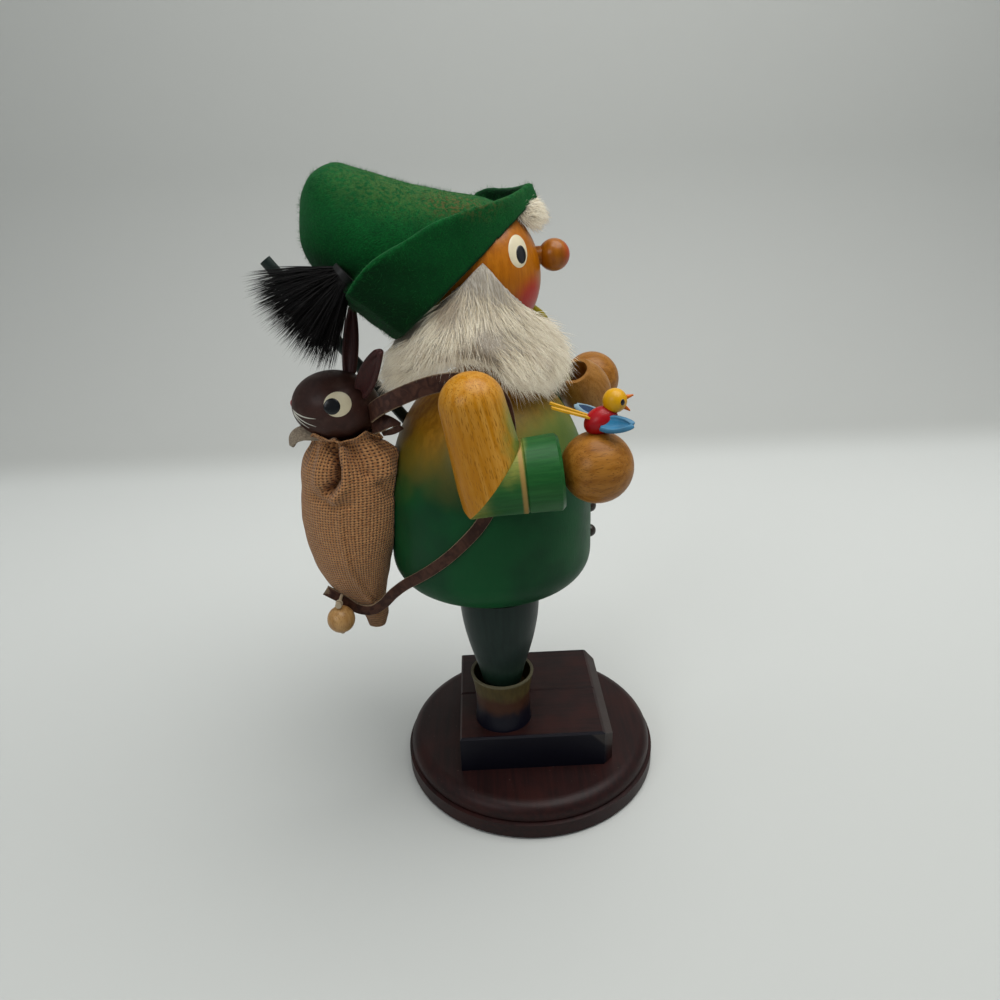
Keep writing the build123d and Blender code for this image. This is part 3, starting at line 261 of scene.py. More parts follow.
# %% Coat
def coat_spray(finish):
    cloud = finish.waver(14.0, 16, 3)
    height = finish.z * 1000 + cloud + finish.y * 160
    olive = finish.mix(finish.y.step(0.0, 0.028), (0.16, 0.2, 0.05), (0.17, 0.12, 0.022))
    green = finish.mix(finish.patch(22, 0.3, 0.7),
                       (0.0045, 0.078, 0.022), (0.002, 0.046, 0.015))
    return (height.step(158, 140), olive), (height.step(148, 126), green)


coat = wood("coat_green", (0.42, 0.205, 0.045), (0.25, 0.105, 0.02), flecks=0.3, roughness=0.5,
            coat=0.12, spray=coat_spray)

# %% [markdown]
# The upper arms are bare honey beech with the green only along the front of the elbow. The
# forearms are green, with a pale worn ring where the cuff begins and paler wood at the mitre.
# Each sleeve is measured from its elbow, up the arm and forward along the forearm.

# %% Sleeves and hands
SLEEVE_GREEN = (0.008, 0.085, 0.022)
SLEEVES = {
    "right": ((-44.84, 12.22, 137.46), (0, 0.2147, 0.9767), (0, -0.9959, 0.0906)),
    "left": ((38.73, 0.57, 143.75), (-0.1093, 0.6898, 0.7157), (0.1562, -0.986, 0.0576)),
}


def upper_spray(side):
    elbow, up, forward = SLEEVES[side]

    def spray(finish):
        cloud = finish.waver(6.0, 9, 4)
        front = finish.reach(elbow, forward) + cloud
        low = finish.reach(elbow, up) + cloud
        return ((front.step(2, -9) * low.step(34, 10) * 0.6, (0.5, 0.2, 0.03)),
                (front.step(2.5, 9) * low.step(30, 16) * 0.85, (0.14, 0.23, 0.05)),
                (front.step(6, 13) * low.step(20, 8) * 0.9, SLEEVE_GREEN))
    return spray


def fore_spray(side):
    elbow, up, forward = SLEEVES[side]

    def spray(finish):
        cloud = finish.waver(5.0, 7, 4)
        along = finish.reach(elbow, forward)
        high = finish.reach(elbow, up)
        wipe = finish.noise(finish.grain(forward, 1.2, 14), 3)
        green = (along + cloud).step(-9, 2) * ((high + cloud).step(9.5, -1) + along.step(8, 12))
        ring = (along - 8.8).size().step(1.1, 0.25)
        # The underside of the forearm is painted a pale grey green, a painted sheen.
        underside_sheen = high.step(-6, -11) * 0.45
        wiped = finish.mix(wipe.step(0.35, 0.75), SLEEVE_GREEN, (0.02, 0.125, 0.034))
        return ((green.maths("MINIMUM", green, 1.0) * 0.97, wiped), (underside_sheen, (0.12, 0.21, 0.13)),
                (ring * 0.85, (0.42, 0.26, 0.1)))
    return spray


# %% Sleeve and hand finishes
upper = {side: wood(f"sleeve_beech_{side}", (0.66, 0.35, 0.1), (0.5, 0.215, 0.042), SLEEVES[side][1],
                    0.8, coat=0.3, spray=upper_spray(side)) for side in SLEEVES}
fore = {side: wood(f"sleeve_green_{side}", (0.36, 0.34, 0.09), (0.22, 0.25, 0.06), SLEEVES[side][2],
                   0.5, 0.48, 0.15, fore_spray(side)) for side in SLEEVES}
hand = wood("hand_beech", (0.43, 0.205, 0.064), (0.27, 0.11, 0.03), (0, -1, 0.1), 0.6, coat=0.2)

# %% [markdown]
# The face is beech under an orange tint, with a cheek of red sprayed low at the front on each
# side. The nose is the same wood with a red tip.


# %% Face, nose, pipe and bare wood
def face_spray(finish):
    width = finish.x.size() * 1000
    place = ((width - 10) ** 2 + (finish.y * 1000 + 2.5) ** 2 + (finish.z * 1000 - 184) ** 2) ** 0.5
    return ((place.step(10.5, 3.5) * 0.9, (0.48, 0.035, 0.035)),)


def nose_spray(finish):
    return ((finish.y.step(-0.0125, -0.0165) * 0.8, (0.5, 0.07, 0.06)),)


face = wood("face_wood", (0.56, 0.215, 0.055), (0.4, 0.13, 0.028), flecks=0.25, coat=0.5, gloss=0.2,
            spray=face_spray)
nose = wood("nose_wood", (0.42, 0.16, 0.04), (0.29, 0.095, 0.02), flecks=0.25, coat=0.5, gloss=0.18,
            spray=nose_spray)
bowl = wood("bowl_wood", (0.44, 0.23, 0.085), (0.3, 0.135, 0.042), (-0.5, 0.4, 0.77), 0.5, coat=0.2)
stem = wood("stem_olive", (0.42, 0.36, 0.05), (0.3, 0.24, 0.03), (0.3, -0.3, -0.9), 0.2)
bare = wood("bare_beech", (0.74, 0.53, 0.33), (0.6, 0.4, 0.22), flecks=0.8, coat=0.0, roughness=0.6)
bead_wood = wood("bead_wood", (0.58, 0.36, 0.17), (0.4, 0.22, 0.09), (0.2, 0.1, 1), 0.6, coat=0.5)

# %% [markdown]
# The base and shoes are stained a cherry brown that is nearly black, and the stain has worn
# reddish on the flats. The near shoe's flank and the foot of the boots were sprayed blue-black.

# %% Base, boots and legs
CHERRY, CHERRY_DARK = (0.026, 0.009, 0.0085), (0.012, 0.0055, 0.0055)


def base_spray(finish):
    patch = finish.patch(16.0, 0.45, 0.75) * 0.5
    specks = finish.patch(0.9, 0.76, 0.79, 1) * 0.35
    return ((patch, (0.04, 0.012, 0.01)), (specks, (0.16, 0.13, 0.11)))


def shoe_spray(finish):
    top_face = finish.z.step(0.0262, 0.0274)
    patch = finish.patch(12.0, 0.4, 0.7) * top_face * 0.6
    flank = finish.x.size().step(0.0262, 0.0276)
    toe = finish.reach((0, -25.5, 22), (0, -1, 1)).step(0.4, 1.6) * top_face.step(1.0, 0.6)
    return ((patch, (0.042, 0.012, 0.01)), (flank * 0.95, (0.003, 0.0035, 0.008)),
            (toe * 0.5, (0.07, 0.06, 0.055)))


def boot_spray(finish):
    height = finish.z * 1000 + finish.waver(4.0, 6, 4)
    return ((height.step(43.5, 39.5), (0.055, 0.022, 0.012)),
            (height.step(38.5, 33), (0.004, 0.004, 0.01)),
            (finish.z.step(0.0478, 0.0486) * 0.5, (0.22, 0.21, 0.15)))


def leg_spray(finish):
    height = finish.z * 1000 + finish.waver(9.0, 10, 3)
    return ((height.step(60, 48) * 0.35, (0.025, 0.05, 0.028)),
            (height.step(47, 42), (0.006, 0.012, 0.01)))


# %% Base, boot and leg finishes
base = wood("stained_base", CHERRY, CHERRY_DARK, (1, 0, 0), 0.2, 0.45, 0.1, base_spray, 0.35)
shoe = wood("stained_shoe", CHERRY, CHERRY_DARK, (0, 1, 0), 0.2, 0.45, 0.08, shoe_spray, 0.3)
boot = wood("boot_paint", (0.095, 0.07, 0.026), (0.06, 0.045, 0.018), (0, 0, 1), 0.2, 0.45, 0.15,
            boot_spray, 0.3)
leg = wood("leg_green", (0.010, 0.024, 0.019), (0.006, 0.016, 0.013), flecks=0.1, coat=0.22,
           spray=leg_spray)
barrel = wood("barrel_black", (0.018, 0.03, 0.026), (0.01, 0.018, 0.016), (0, 0.6, 0.8), 0.1)

# %% [markdown]
# Small turned or carved pieces are dipped in gloss paint: the buttons, the bird and the hare.
# Paint on so small a piece pools a little, so its colour and gloss vary slowly.


# %% Dipped paint
def dipped(name, colour, roughness=0.35, coat=0.4, edge=None, slow=0.25):
    """Gloss paint. edge(finish) gives (mask, colour) pairs painted over it."""
    finish = Finish(name, Coat_Weight=coat * 0.7, Coat_Roughness=0.25, Specular_IOR_Level=0.2)
    pool = finish.noise(span=3.0, detail=3)
    shade = finish.mix(pool.step(0.3, 0.7) * slow, colour, tuple(part * 0.45 for part in colour))
    shade = finish.over(shade, edge(finish) if edge else ())
    finish.feed(Base_Color=shade, Roughness=pool * 0.2 + (roughness - 0.1))
    finish.bump(finish.noise(span=0.8, detail=2), 0.03)
    return finish


# %% Buttons, bird, hare and eyes
button = dipped("button_black", (0.03, 0.022, 0.016), 0.3, 0.5)
bird_red = dipped("bird_red", (0.44, 0.035, 0.04), 0.42, 0.3)
beak_orange = dipped("beak_orange", (0.72, 0.2, 0.05), 0.42, 0.3)
bird_yellow = dipped("bird_yellow", (0.78, 0.4, 0.012), 0.42, 0.3)
hare_brown = dipped("hare_brown", (0.052, 0.021, 0.016), 0.52, 0.1, slow=0.5, edge=lambda finish: (
    (finish.patch(4.5, 0.5, 0.72, 5) * 0.35, (0.1, 0.062, 0.05)),
    (finish.patch(0.5, 0.72, 0.76, 1) * 0.3, (0.2, 0.15, 0.12)),
    (finish.away((-8, 77.2, 153.6)).step(3.4, 2.2), (0.36, 0.03, 0.045))))
nose_red = dipped("hare_nose_red", (0.42, 0.04, 0.05), 0.4, 0.4)
cream = dipped("eye_cream", (0.84, 0.76, 0.55), 0.35, 0.4, slow=0.1)
chalk = dipped("paint_white", (0.8, 0.78, 0.68), 0.4, 0.3, slow=0.1)
ink = dipped("pupil_black", (0.006, 0.007, 0.009), 0.2, 0.7)


# %% Two tones, and the metals
def two_tone(name, pattern, first, second, depth, edges=None, rough=None, **plain):
    """A material of two tones. pattern(finish) is the noise that mixes them and makes the bumps."""
    finish = Finish(name, **plain)
    noise = pattern(finish)
    finish.feed(Base_Color=finish.mix(noise.step(*edges) if edges else noise, first, second))
    if rough:
        finish.feed(Roughness=noise * rough[0] + rough[1])
    finish.bump(noise, depth)
    return finish


def brushed(finish):
    return finish.noise(finish.grain((1, 0.2, 0), 0.2, 5), 3)


tin = two_tone("tin", brushed, (0.55, 0.54, 0.5), (0.385, 0.378, 0.35), 0.02, rough=(0.25, 0.3),
               Metallic=1.0)
brass = two_tone("brass", brushed, (0.6, 0.42, 0.16), (0.42, 0.294, 0.112), 0.02, rough=(0.25, 0.3),
                 Metallic=1.0)
ferrule_tin = dipped("ferrule_black", (0.012, 0.012, 0.012), 0.5, 0.1)

# %% [markdown]
# ## Dressing the carried-over solids
# A solid whose shape is right keeps its mesh and only gets its finish in its material slots.


# %% Finishes by node
def dress(finish, *names):
    for name in names:
        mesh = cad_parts[name].data
        mesh.materials.clear()
        mesh.materials.append(finish.material)


for finish, names in (
        (base, "base_disc"), (shoe, "shoe_right shoe_left"), (boot, "boot_right boot_left"),
        (leg, "leg_right leg_left"), (tin, "incense_tray"), (brass, "tray_tack"),
        (bare, "hip_block arm_dowel_right arm_dowel_left wrist_dowel_right wrist_dowel_left"),
        (bare, "bowl_peg bird_peg"), (coat, "body_shell"), (face, "head"), (nose, "nose"),
        (button, "coat_button_low coat_button_middle coat_button_top"),
        (hand, "hand_right hand_left"), (bowl, "pipe_bowl"), (stem, "pipe_stem"),
        (bird_red, "bird_body"), (beak_orange, "bird_beak"), (bird_yellow, "bird_head bird_tail"),
        (hare_brown, "hare_head"), (nose_red, "hare_nose"), (barrel, "gun_barrel"),
        (ferrule_tin, "tuft_ferrule"), (bead_wood, "bead")):
    dress(finish, *names.split())
for side in SLEEVES:
    dress(upper[side], f"upper_arm_{side}")
    dress(fore[side], f"forearm_{side}")
print("finishes so far:", len(bpy.data.materials))

# %% [markdown]
# ## Painted marks
# The eyes, pupils and whiskers are blobs and strokes of thick paint. Each is a thin disc or
# ribbon that is dropped onto the wood along one direction, so it takes the wood's curve exactly,
# and its middle is raised a little as drying paint is.

# %% Paint laid on a solid
SIDES = (("right", -1), ("left", 1))


def tree_of(*names):
    """The triangles of some CAD nodes, for finding points on them."""
    points, faces = [], []
    for name in names:
        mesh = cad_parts[name].data
        start = len(points)
        points += [vertex.co.copy() for vertex in mesh.vertices]
        faces += [[start + index for index in polygon.vertices] for polygon in mesh.polygons]
    return BVHTree.FromPolygons(points, faces)


# %% Faces between points, and new pieces
def net(rows, columns, closed=False, flip=False, start=0):
    """Faces between rows of points. A closed net joins the end of each row to its start."""
    faces = []
    for row in range(rows - 1):
        for column in range(columns if closed else columns - 1):
            here = start + row * columns + column
            beside = start + row * columns + (column + 1) % columns
            faces.append((here, here + columns, beside + columns, beside) if flip
                         else (here, beside, beside + columns, here + columns))
    return faces


def smooth_mesh(name, points, faces, finish):
    mesh = bpy.data.meshes.new(name)
    mesh.from_pydata([tuple(point) for point in points], [], faces)
    mesh.materials.append(finish.material)
    mesh.polygons.foreach_set("use_smooth", [True] * len(mesh.polygons))
    mesh.update()
    return mesh


def new_piece(name, points, faces, finish, body=None):
    """A mesh object at the origin that rides on a body."""
    piece = add_object(name, smooth_mesh(name, points, faces, finish))
    if body:
        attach(piece, body)
    return piece


# %% Ovals of paint
def daub(name, node, middle, facing, half_size, tilt, finish, raised=0.16, lift=0.04,
         body="figure"):
    """An oval of paint. middle is in mm, half_size is (across, up) and tilt turns it in degrees."""
    wood_tree = tree_of(node)
    facing = Vector(facing).normalized()
    across = Vector((0, 0, 1)).cross(facing).normalized()
    across = Matrix.Rotation(math.radians(tilt), 3, facing) @ across
    up = facing.cross(across)
    rings, spokes = 8, 48
    points = []
    for ring in range(rings + 1):
        share = ring / rings
        for spoke in range(spokes if ring else 1):
            angle = 2 * math.pi * spoke / spokes
            flat = (Vector(middle) + across * (share * half_size[0] * math.cos(angle))
                    + up * (share * half_size[1] * math.sin(angle))) * MM
            hit, normal, _, _ = wood_tree.ray_cast(flat + facing * 0.05, -facing)
            dome = raised * (1 - share ** 4) + lift * (1 if ring < rings else -1)
            points.append(hit + normal * dome * MM)
    faces = [(0, 1 + spoke, 1 + (spoke + 1) % spokes) for spoke in range(spokes)]
    faces += net(rings, spokes, closed=True, flip=True, start=1)
    return new_piece(name, points, faces, finish, body)


# %% Eyes and pupils
for side, sign in SIDES:
    outward, hare_side = (sign * 0.92, -0.38, 0.05), (sign, 0.1, 0.1)
    daub(f"eye_{side}", "head", (sign * 15, 0.8, 199.8), outward, (3.8, 5.0), sign * 8, cream)
    daub(f"pupil_{side}", "head", (sign * 15, 0.0, 198.8), outward, (2.15, 2.95), sign * 5, ink,
         0.12, 0.2)
    daub(f"hare_eye_{side}", "hare_head", (-8 + sign * 10, 60.4, 155.4), hare_side, (4.4, 4.1), 0,
         cream)
    daub(f"hare_pupil_{side}", "hare_head", (-8 + sign * 10, 62.0, 154.9), hare_side, (2.85, 2.85), 0,
         ink, 0.12, 0.2)
    daub(f"bird_eye_{side}", "bird_head", (-44.84 + sign * 3, -25.4, 160.5), (sign, -0.3, 0.05),
         (0.75, 0.95), 0, ink, 0.1)

# %% [markdown]
# Whiskers are single strokes of a fine brush: wider where the brush came down, and pointed where
# it was lifted.


# %% Brush strokes
def stroke(name, node, start, end, facing, width, bow, finish):
    """A stroke of paint from start to end (mm), bowed upwards by bow, dropped along -facing."""
    wood_tree = tree_of(node)
    start, end, facing = Vector(start), Vector(end), Vector(facing).normalized()
    up = facing.cross(end - start).normalized()
    up = up if up.z > 0 else -up
    steps = 14
    points = []
    for step in range(steps + 1):
        share = step / steps
        middle = start.lerp(end, share) + up * bow * math.sin(math.pi * share)
        half = width * (1 - share) ** 0.6 * min(1, 0.4 + share * 6) / 2 + 0.02
        for offset, height in ((-half, 0.0), (0, 0.1), (half, 0.0)):
            hit, normal, _, _ = wood_tree.ray_cast((middle + up * offset) * MM + facing * 0.05, -facing)
            points.append(hit + normal * height * MM)
    mesh = new_piece(name, points, net(steps + 1, 3, flip=True), finish, "figure").data
    if sum(polygon.normal.dot(facing) * polygon.area for polygon in mesh.polygons) < 0:
        mesh.flip_normals()


# %% The hare's whiskers
WHISKERS = [((76.6, 152.6), (67.2, 151.6)), ((76.4, 152.0), (67.8, 148.6)),
            ((76.2, 151.4), (70.6, 147.6))]
for side, sign in SIDES:
    for count, (begin, lifted) in enumerate(WHISKERS):
        stroke(f"whisker_{side}_{count}", "hare_head", (-8 + sign * 6, *begin), (-8 + sign * 6, *lifted),
               (sign, 0.12, -0.1), 0.62, -0.4, chalk)

# %% [markdown]
# ## Geometry Nodes that lay strands
# Fur, felt and bristles are all the same thing: thousands of tapered strands that stand on a
# surface. A Geometry Nodes tree scatters points on the faces, puts one small strand on each, and
# turns it to follow a direction stored on the surface. The direction is worked out in plain
# Python first, which is where fur is combed into locks.


# %% One strand
def strand(name, bends, finish):
    """A three-sided strand 1 long up Z and 1 thick, with a point."""
    sides = 3
    points, along = [], []
    for ring in range(bends):
        share = ring / bends
        thick = 0.5 * (1 - share) ** 0.5
        for side in range(sides):
            angle = 2 * math.pi * side / sides
            points.append((thick * math.cos(angle), thick * math.sin(angle), share))
            along.append(share)
    last = (bends - 1) * sides
    faces = net(bends, sides, closed=True)
    faces += [(last + side, last + (side + 1) % sides, bends * sides) for side in range(sides)]
    mesh = smooth_mesh(name, points + [(0, 0, 1)], faces, finish)
    mesh.attributes.new("root_to_tip", "FLOAT", "POINT").data.foreach_set("value", along + [1.0])
    return mesh


# %% The tree that lays them
def strand_tree(name, bends, finish):
    """Scatters a strand over the faces where the surface's "hairy" attribute is 1."""
    holder = bpy.data.objects.new(name + "_strand", strand(name, bends, finish))
    tree = bpy.data.node_groups.new(name, "GeometryNodeTree")
    kinds = {"Geometry": "Geometry", "Seed": "Int"}
    for label in ("Geometry", "Per square mm", "Length", "Thickness", "Unevenness", "Stray", "Seed"):
        kind = "NodeSocket" + kinds.get(label, "Float")
        tree.interface.new_socket(label, in_out="INPUT", socket_type=kind)
    tree.interface.new_socket("Geometry", in_out="OUTPUT", socket_type="NodeSocketGeometry")
    nodes = Nodes(tree)
    add = nodes.node
    given = {socket.name: Sock(nodes, socket) for socket in tree.nodes.new("NodeGroupInput").outputs}

    def attribute(label, kind):
        return add("GeometryNodeInputNamedAttribute", {"data_type": kind}, {"Name": label})

    def chance(values, output=1, kind="FLOAT"):
        values["Seed"] = given["Seed"]
        return add("FunctionNodeRandomValue", {"data_type": kind}, values, output)

    spots = add("GeometryNodeDistributePointsOnFaces", {"distribute_method": "RANDOM"}, {
        "Mesh": given["Geometry"], "Seed": given["Seed"],
        "Density": given["Per square mm"] * 1e6 * attribute("hairy", "FLOAT")}, "Points")
    stray = add("ShaderNodeVectorMath", {"operation": "SCALE"}, {
        0: chance({0: (-1, -1, -1), 1: (1, 1, 1)}, 0, "FLOAT_VECTOR"), "Scale": given["Stray"]})
    way = add("ShaderNodeVectorMath", {"operation": "ADD"}, (attribute("flow", "FLOAT_VECTOR"), stray))
    turned = add("FunctionNodeAlignRotationToVector", {"axis": "Z"}, {"Vector": way})
    spin = add("ShaderNodeCombineXYZ", {}, {"Z": chance({2: 0.0, 3: 2 * math.pi})})
    turned = add("FunctionNodeRotateRotation", {"rotation_space": "LOCAL"},
                 {"Rotation": turned, "Rotate By": spin})
    tall = chance({2: 1.0 - given["Unevenness"], 3: 1.0, "ID": 7}) * given["Length"]
    size = add("ShaderNodeCombineXYZ", {}, (given["Thickness"], given["Thickness"], tall))
    model = add("GeometryNodeObjectInfo", {}, {"Object": holder}, "Geometry")
    laid = add("GeometryNodeInstanceOnPoints", {}, {
        "Points": spots, "Instance": model, "Rotation": turned, "Scale": size})
    toned = add("GeometryNodeStoreNamedAttribute", {"data_type": "FLOAT", "domain": "INSTANCE"},
                {"Geometry": laid, "Name": "tone", "Value": chance({})})
    real = add("GeometryNodeRealizeInstances", {}, {"Geometry": toned})
    painted = add("GeometryNodeSetMaterial", {}, {"Geometry": real, "Material": finish.material})
    tree.links.new(painted.socket, tree.nodes.new("NodeGroupOutput").inputs[0])
    return tree


# %% Running the tree
def lay_strands(name, surface, bends, finish, bend, **sizes):
    """Lays strands of so many bends on a surface and returns them as one plain mesh object.

    Each point then moves to bend(points, root_to_tip, tone), so that strands sag and sway."""
    tree = strand_tree(name, bends, finish)
    modifier = surface.modifiers.new("strands", "NODES")
    modifier.node_group = tree
    for socket in tree.interface.items_tree:
        if socket.in_out == "INPUT" and socket.name.replace(" ", "_") in sizes:
            modifier[socket.identifier] = sizes[socket.name.replace(" ", "_")]
    mesh = final_mesh(surface)
    surface.modifiers.remove(modifier)
    mesh.name = name
    if bend:
        move_to(mesh, bend(points_of(mesh), shares_of(mesh, "root_to_tip"), shares_of(mesh, "tone")))
    print(name, "triangles:", sum(len(polygon.vertices) - 2 for polygon in mesh.polygons))
    return add_object(name, mesh)


# %% Meshes as arrays
def final_mesh(piece):
    """The piece's mesh with its modifiers worked out."""
    return bpy.data.meshes.new_from_object(piece.evaluated_get(bpy.context.evaluated_depsgraph_get()))


def apply_all(piece):
    """Bakes a piece's modifiers into its mesh."""
    mesh = final_mesh(piece)
    piece.modifiers.clear()
    piece.data = mesh


def shares_of(mesh, name):
    """A point attribute of the mesh as one column."""
    values = np.empty(len(mesh.vertices), dtype=np.float32)
    mesh.attributes[name].data.foreach_get("value", values)
    return values[:, None]


def points_of(mesh):
    points = np.empty(len(mesh.vertices) * 3)
    mesh.vertices.foreach_get("co", points)
    return points.reshape(-1, 3)


def normals_of(mesh):
    normals = np.empty(len(mesh.vertices) * 3)
    mesh.vertex_normals.foreach_get("vector", normals)
    return normals.reshape(-1, 3)


def move_to(mesh, points):
    mesh.vertices.foreach_set("co", points.ravel())
    mesh.update()


# %% [markdown]
# ## Surfaces to work on
# Soft pieces start from the space that their plain solid holds. A copy of the solid is merged
# and remeshed into even small faces, smoothed, and drawn in a little, so that what is laid on it
# fills the space again.


# %% Even surfaces from the plain solids
def even_copy(name, nodes, voxel, smooth, inset):
    """A remeshed, smoothed copy of some CAD nodes, drawn in by the inset (all in mm)."""
    build = bmesh.new()
    for node in nodes:
        build.from_mesh(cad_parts[node].data)
    bmesh.ops.remove_doubles(build, verts=build.verts, dist=1e-6)
    mesh = bpy.data.meshes.new(name)
    build.to_mesh(mesh)
    build.free()
    piece = add_object(name, mesh)
    remesh = piece.modifiers.new("even", "REMESH")
    remesh.mode = "VOXEL"
    remesh.voxel_size = voxel * MM
    relax = piece.modifiers.new("relax", "SMOOTH")
    relax.iterations = smooth
    relax.factor = 0.5
    apply_all(piece)
    move_to(piece.data, points_of(piece.data) - normals_of(piece.data) * inset * MM)
    piece.data.polygons.foreach_set("use_smooth", [True] * len(piece.data.polygons))
    print(name, "faces:", len(piece.data.polygons))
    return piece


# %% Directions on a surface
def comb(piece, flow, hairy):
    """Stores the strands' direction and where they grow on a surface."""
    mesh = piece.data
    mesh.attributes.new("flow", "FLOAT_VECTOR", "POINT").data.foreach_set("vector", flow.ravel())
    mesh.attributes.new("hairy", "FLOAT", "POINT").data.foreach_set("value", hairy)


def ripple(points, span, seed):
    """Smooth pseudo-random values from -1 to 1 that vary over span millimetres."""
    rng = np.random.default_rng(seed)
    waves = rng.normal(size=(7, 3)) / (span * MM)
    starts = rng.uniform(0, 2 * math.pi, 7)
    return np.sin(points @ waves.T + starts).mean(axis=1) * 1.9


def unit(vectors):
    return vectors / np.maximum(np.linalg.norm(vectors, axis=1, keepdims=True), 1e-9)


def clearance(points, tree):
    """Distance (mm) from each point to a tree of faces."""
    return np.array([tree.find_nearest(Vector(point))[3] / MM for point in points])


# %% [markdown]
# ## The felt hat
# The hat is one piece of pressed felt with its brim folded up at the sides and drawn to a beak in
# front. Felt has no weave: it is a mat of short fibres, with a soft edge and a halo of loose
# fibres against the light. The crown has rubbed and faded on top.

# %% Felt
HAT_SEAT, HAT_FRONT, HAT_UP = ((0, 15.65, 196.05), (0, -0.753, 0.658), (0, 0.658, 0.753))
felt = Finish("felt_green", Sheen_Weight=0.12, Sheen_Roughness=0.5, Specular_IOR_Level=0.12)
felt.shader.inputs["Sheen Tint"].default_value = (0.35, 0.8, 0.45, 1)
fibres = felt.noise(felt.grain((1, 0.3, 0.2), 0.22, 1.3), 3)
fibres_too = felt.noise(felt.grain((0.1, 1, -0.4), 0.22, 1.3), 3)
mat = (fibres + fibres_too) * 0.5
rubbed = felt.away((-8, 28, 224), (0.7, 0.5, 1.0)).step(20, 6) * felt.patch(1.3, 0.36, 0.62, 5)
singed = felt.away((-14, 18, 216), (0.8, 0.7, 1.0)).step(11, 4) * felt.patch(1.1, 0.46, 0.62)
turned = felt.parts(felt.node("ShaderNodeNewGeometry", {}, (), "Normal"))
# The underside, the low back of the brim and the inner face of the far brim are painted a near black
# green: painted shade.
under = turned[2].step(0.05, -0.45) * 0.85
back_brim_shade = turned[1].step(0.3, 0.7) * felt.reach(HAT_SEAT, HAT_UP).step(13, 8) * 0.85
far_brim_inside_shade = felt.x.step(0.001, 0.005) * turned[0].step(-0.05, -0.5) * 0.75
felt_tone = felt.over(felt.mix(mat.step(0.36, 0.62), (0.002, 0.036, 0.009), (0.012, 0.12, 0.03)), (
    (felt.patch(9, 0.35, 0.7) * 0.5, (0.004, 0.055, 0.015)), (rubbed * 0.4, (0.12, 0.17, 0.05)),
    (singed * 0.5, (0.15, 0.075, 0.03)),
    *((mask, (0.001, 0.014, 0.004)) for mask in (under, back_brim_shade, far_brim_inside_shade))))
felt.feed(Base_Color=felt_tone, Roughness=mat * 0.1 + 0.85)
felt.bump(mat + felt.noise(span=1.6, detail=3) * 0.6, 0.35)
fuzz = Finish("felt_fuzz", Roughness=0.9, Specular_IOR_Level=0.12)
fuzz.feed(Base_Color=fuzz.mix(fuzz.tone("tone"), (0.006, 0.07, 0.018), (0.035, 0.19, 0.055)))

# %% The hat's surface
hat = even_copy("felt_hat", ("hat_crown", "hat_brim"), 0.7, 5, 0.0)
hat.data.materials.append(felt.material)
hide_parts("hat_crown", "hat_brim")
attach(hat, "figure")
crown = hat.vertex_groups.new(name="crown")
for index, height in enumerate((points_of(hat.data) / MM - HAT_SEAT) @ np.array(HAT_UP)):
    crown.add([index], float(np.clip((height - 26) / 10, 0, 1)), "REPLACE")
rounding = hat.modifiers.new("round", "SMOOTH")
rounding.iterations = 30
rounding.factor = 0.5
rounding.vertex_group = "crown"
apply_all(hat)

# %% Dents and the raised brim
hat_points, hat_normals = points_of(hat.data), normals_of(hat.data)
local = hat_points / MM - HAT_SEAT
forward, lifted = local @ np.array(HAT_FRONT), local @ np.array(HAT_UP)
soft = ripple(hat_points, 7, 3) * 0.18 + ripple(hat_points, 3, 4) * 0.08
bulge = np.exp(-(np.hypot(hat_points[:, 1] / MM - 61, hat_points[:, 2] / MM - 221.5) / 6.5) ** 2) * 1.9
swell = soft + bulge + 0.4 * np.clip((lifted - 30) / 10, 0, 1)
far_brim = (np.clip(local[:, 0] / 12, 0, 1) * np.exp(-((forward - 22) / 9.5) ** 2)
            * np.clip((lifted - 2) / 8, 0, 1))
far_brim_raise = 6.2
hat_points += (hat_normals * swell[:, None] + far_brim[:, None] * np.array(HAT_UP) * far_brim_raise) * MM
move_to(hat.data, hat_points)

# %% The fuzz
head_tree = tree_of("head", "beard")
lie = np.column_stack([ripple(hat_points, 2, seed) for seed in (5, 6, 7)])
comb(hat, unit(hat_normals * 0.55 + lie), (clearance(hat_points, head_tree) > 1.0).astype(float))
hat_fuzz = lay_strands("hat_fuzz", hat, 2, fuzz, None, Per_square_mm=0.95,
                       Length=1.7 * MM, Thickness=0.07 * MM, Unevenness=0.6, Stray=0.6, Seed=11)
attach(hat_fuzz, "figure")

# %% [markdown]
# ## Fur
# The beard is a strip of real rabbit fur round the face, cream at the tips and grey-brown near
# the skin. It parts into locks: from the cheek it falls forward to the chin, and behind the ear it
# lies back over the strap. The under layer is dense and combed, the top layer is sparse and wild.

# %% Fur finishes
# The fur glows faintly in its own colour, a painted light that lifts it where its hairs shade each
# other.
fur = Finish("fur_white", Sheen_Weight=0.2, Emission_Strength=0.17)
blotch = fur.noise(span=7, detail=4)
tan_patch = fur.away((-26, 25, 186), (0.6, 1, 1)).step(9, 3) * blotch.step(0.3, 0.6) * 0.6
dark_patch = fur.away((-22, 46, 161)).step(9, 4) * blotch.step(0.35, 0.6)
hair = fur.over(
    fur.mix(fur.tone("root_to_tip").step(0.0, 0.55), (0.68, 0.59, 0.43), (1.0, 0.945, 0.79)), (
        (fur.tone("tone").step(0.78, 0.95) * 0.6, (0.62, 0.52, 0.4)),
        (blotch.step(0.5, 0.72) * 0.45, (0.66, 0.57, 0.45)),
        (tan_patch, (0.4, 0.3, 0.2)), (dark_patch, (0.06, 0.045, 0.035))))
fur.feed(Base_Color=hair, Emission_Color=hair, Roughness=fur.tone("tone") * 0.2 + 0.5)
skin = two_tone("fur_ground", lambda finish: finish.noise(finish.grain((0, -0.3, -1), 0.3, 6), 4, 1.2),
                (0.5, 0.43, 0.34), (0.8, 0.74, 0.65), 0.6, (0.35, 0.65), Roughness=0.9)


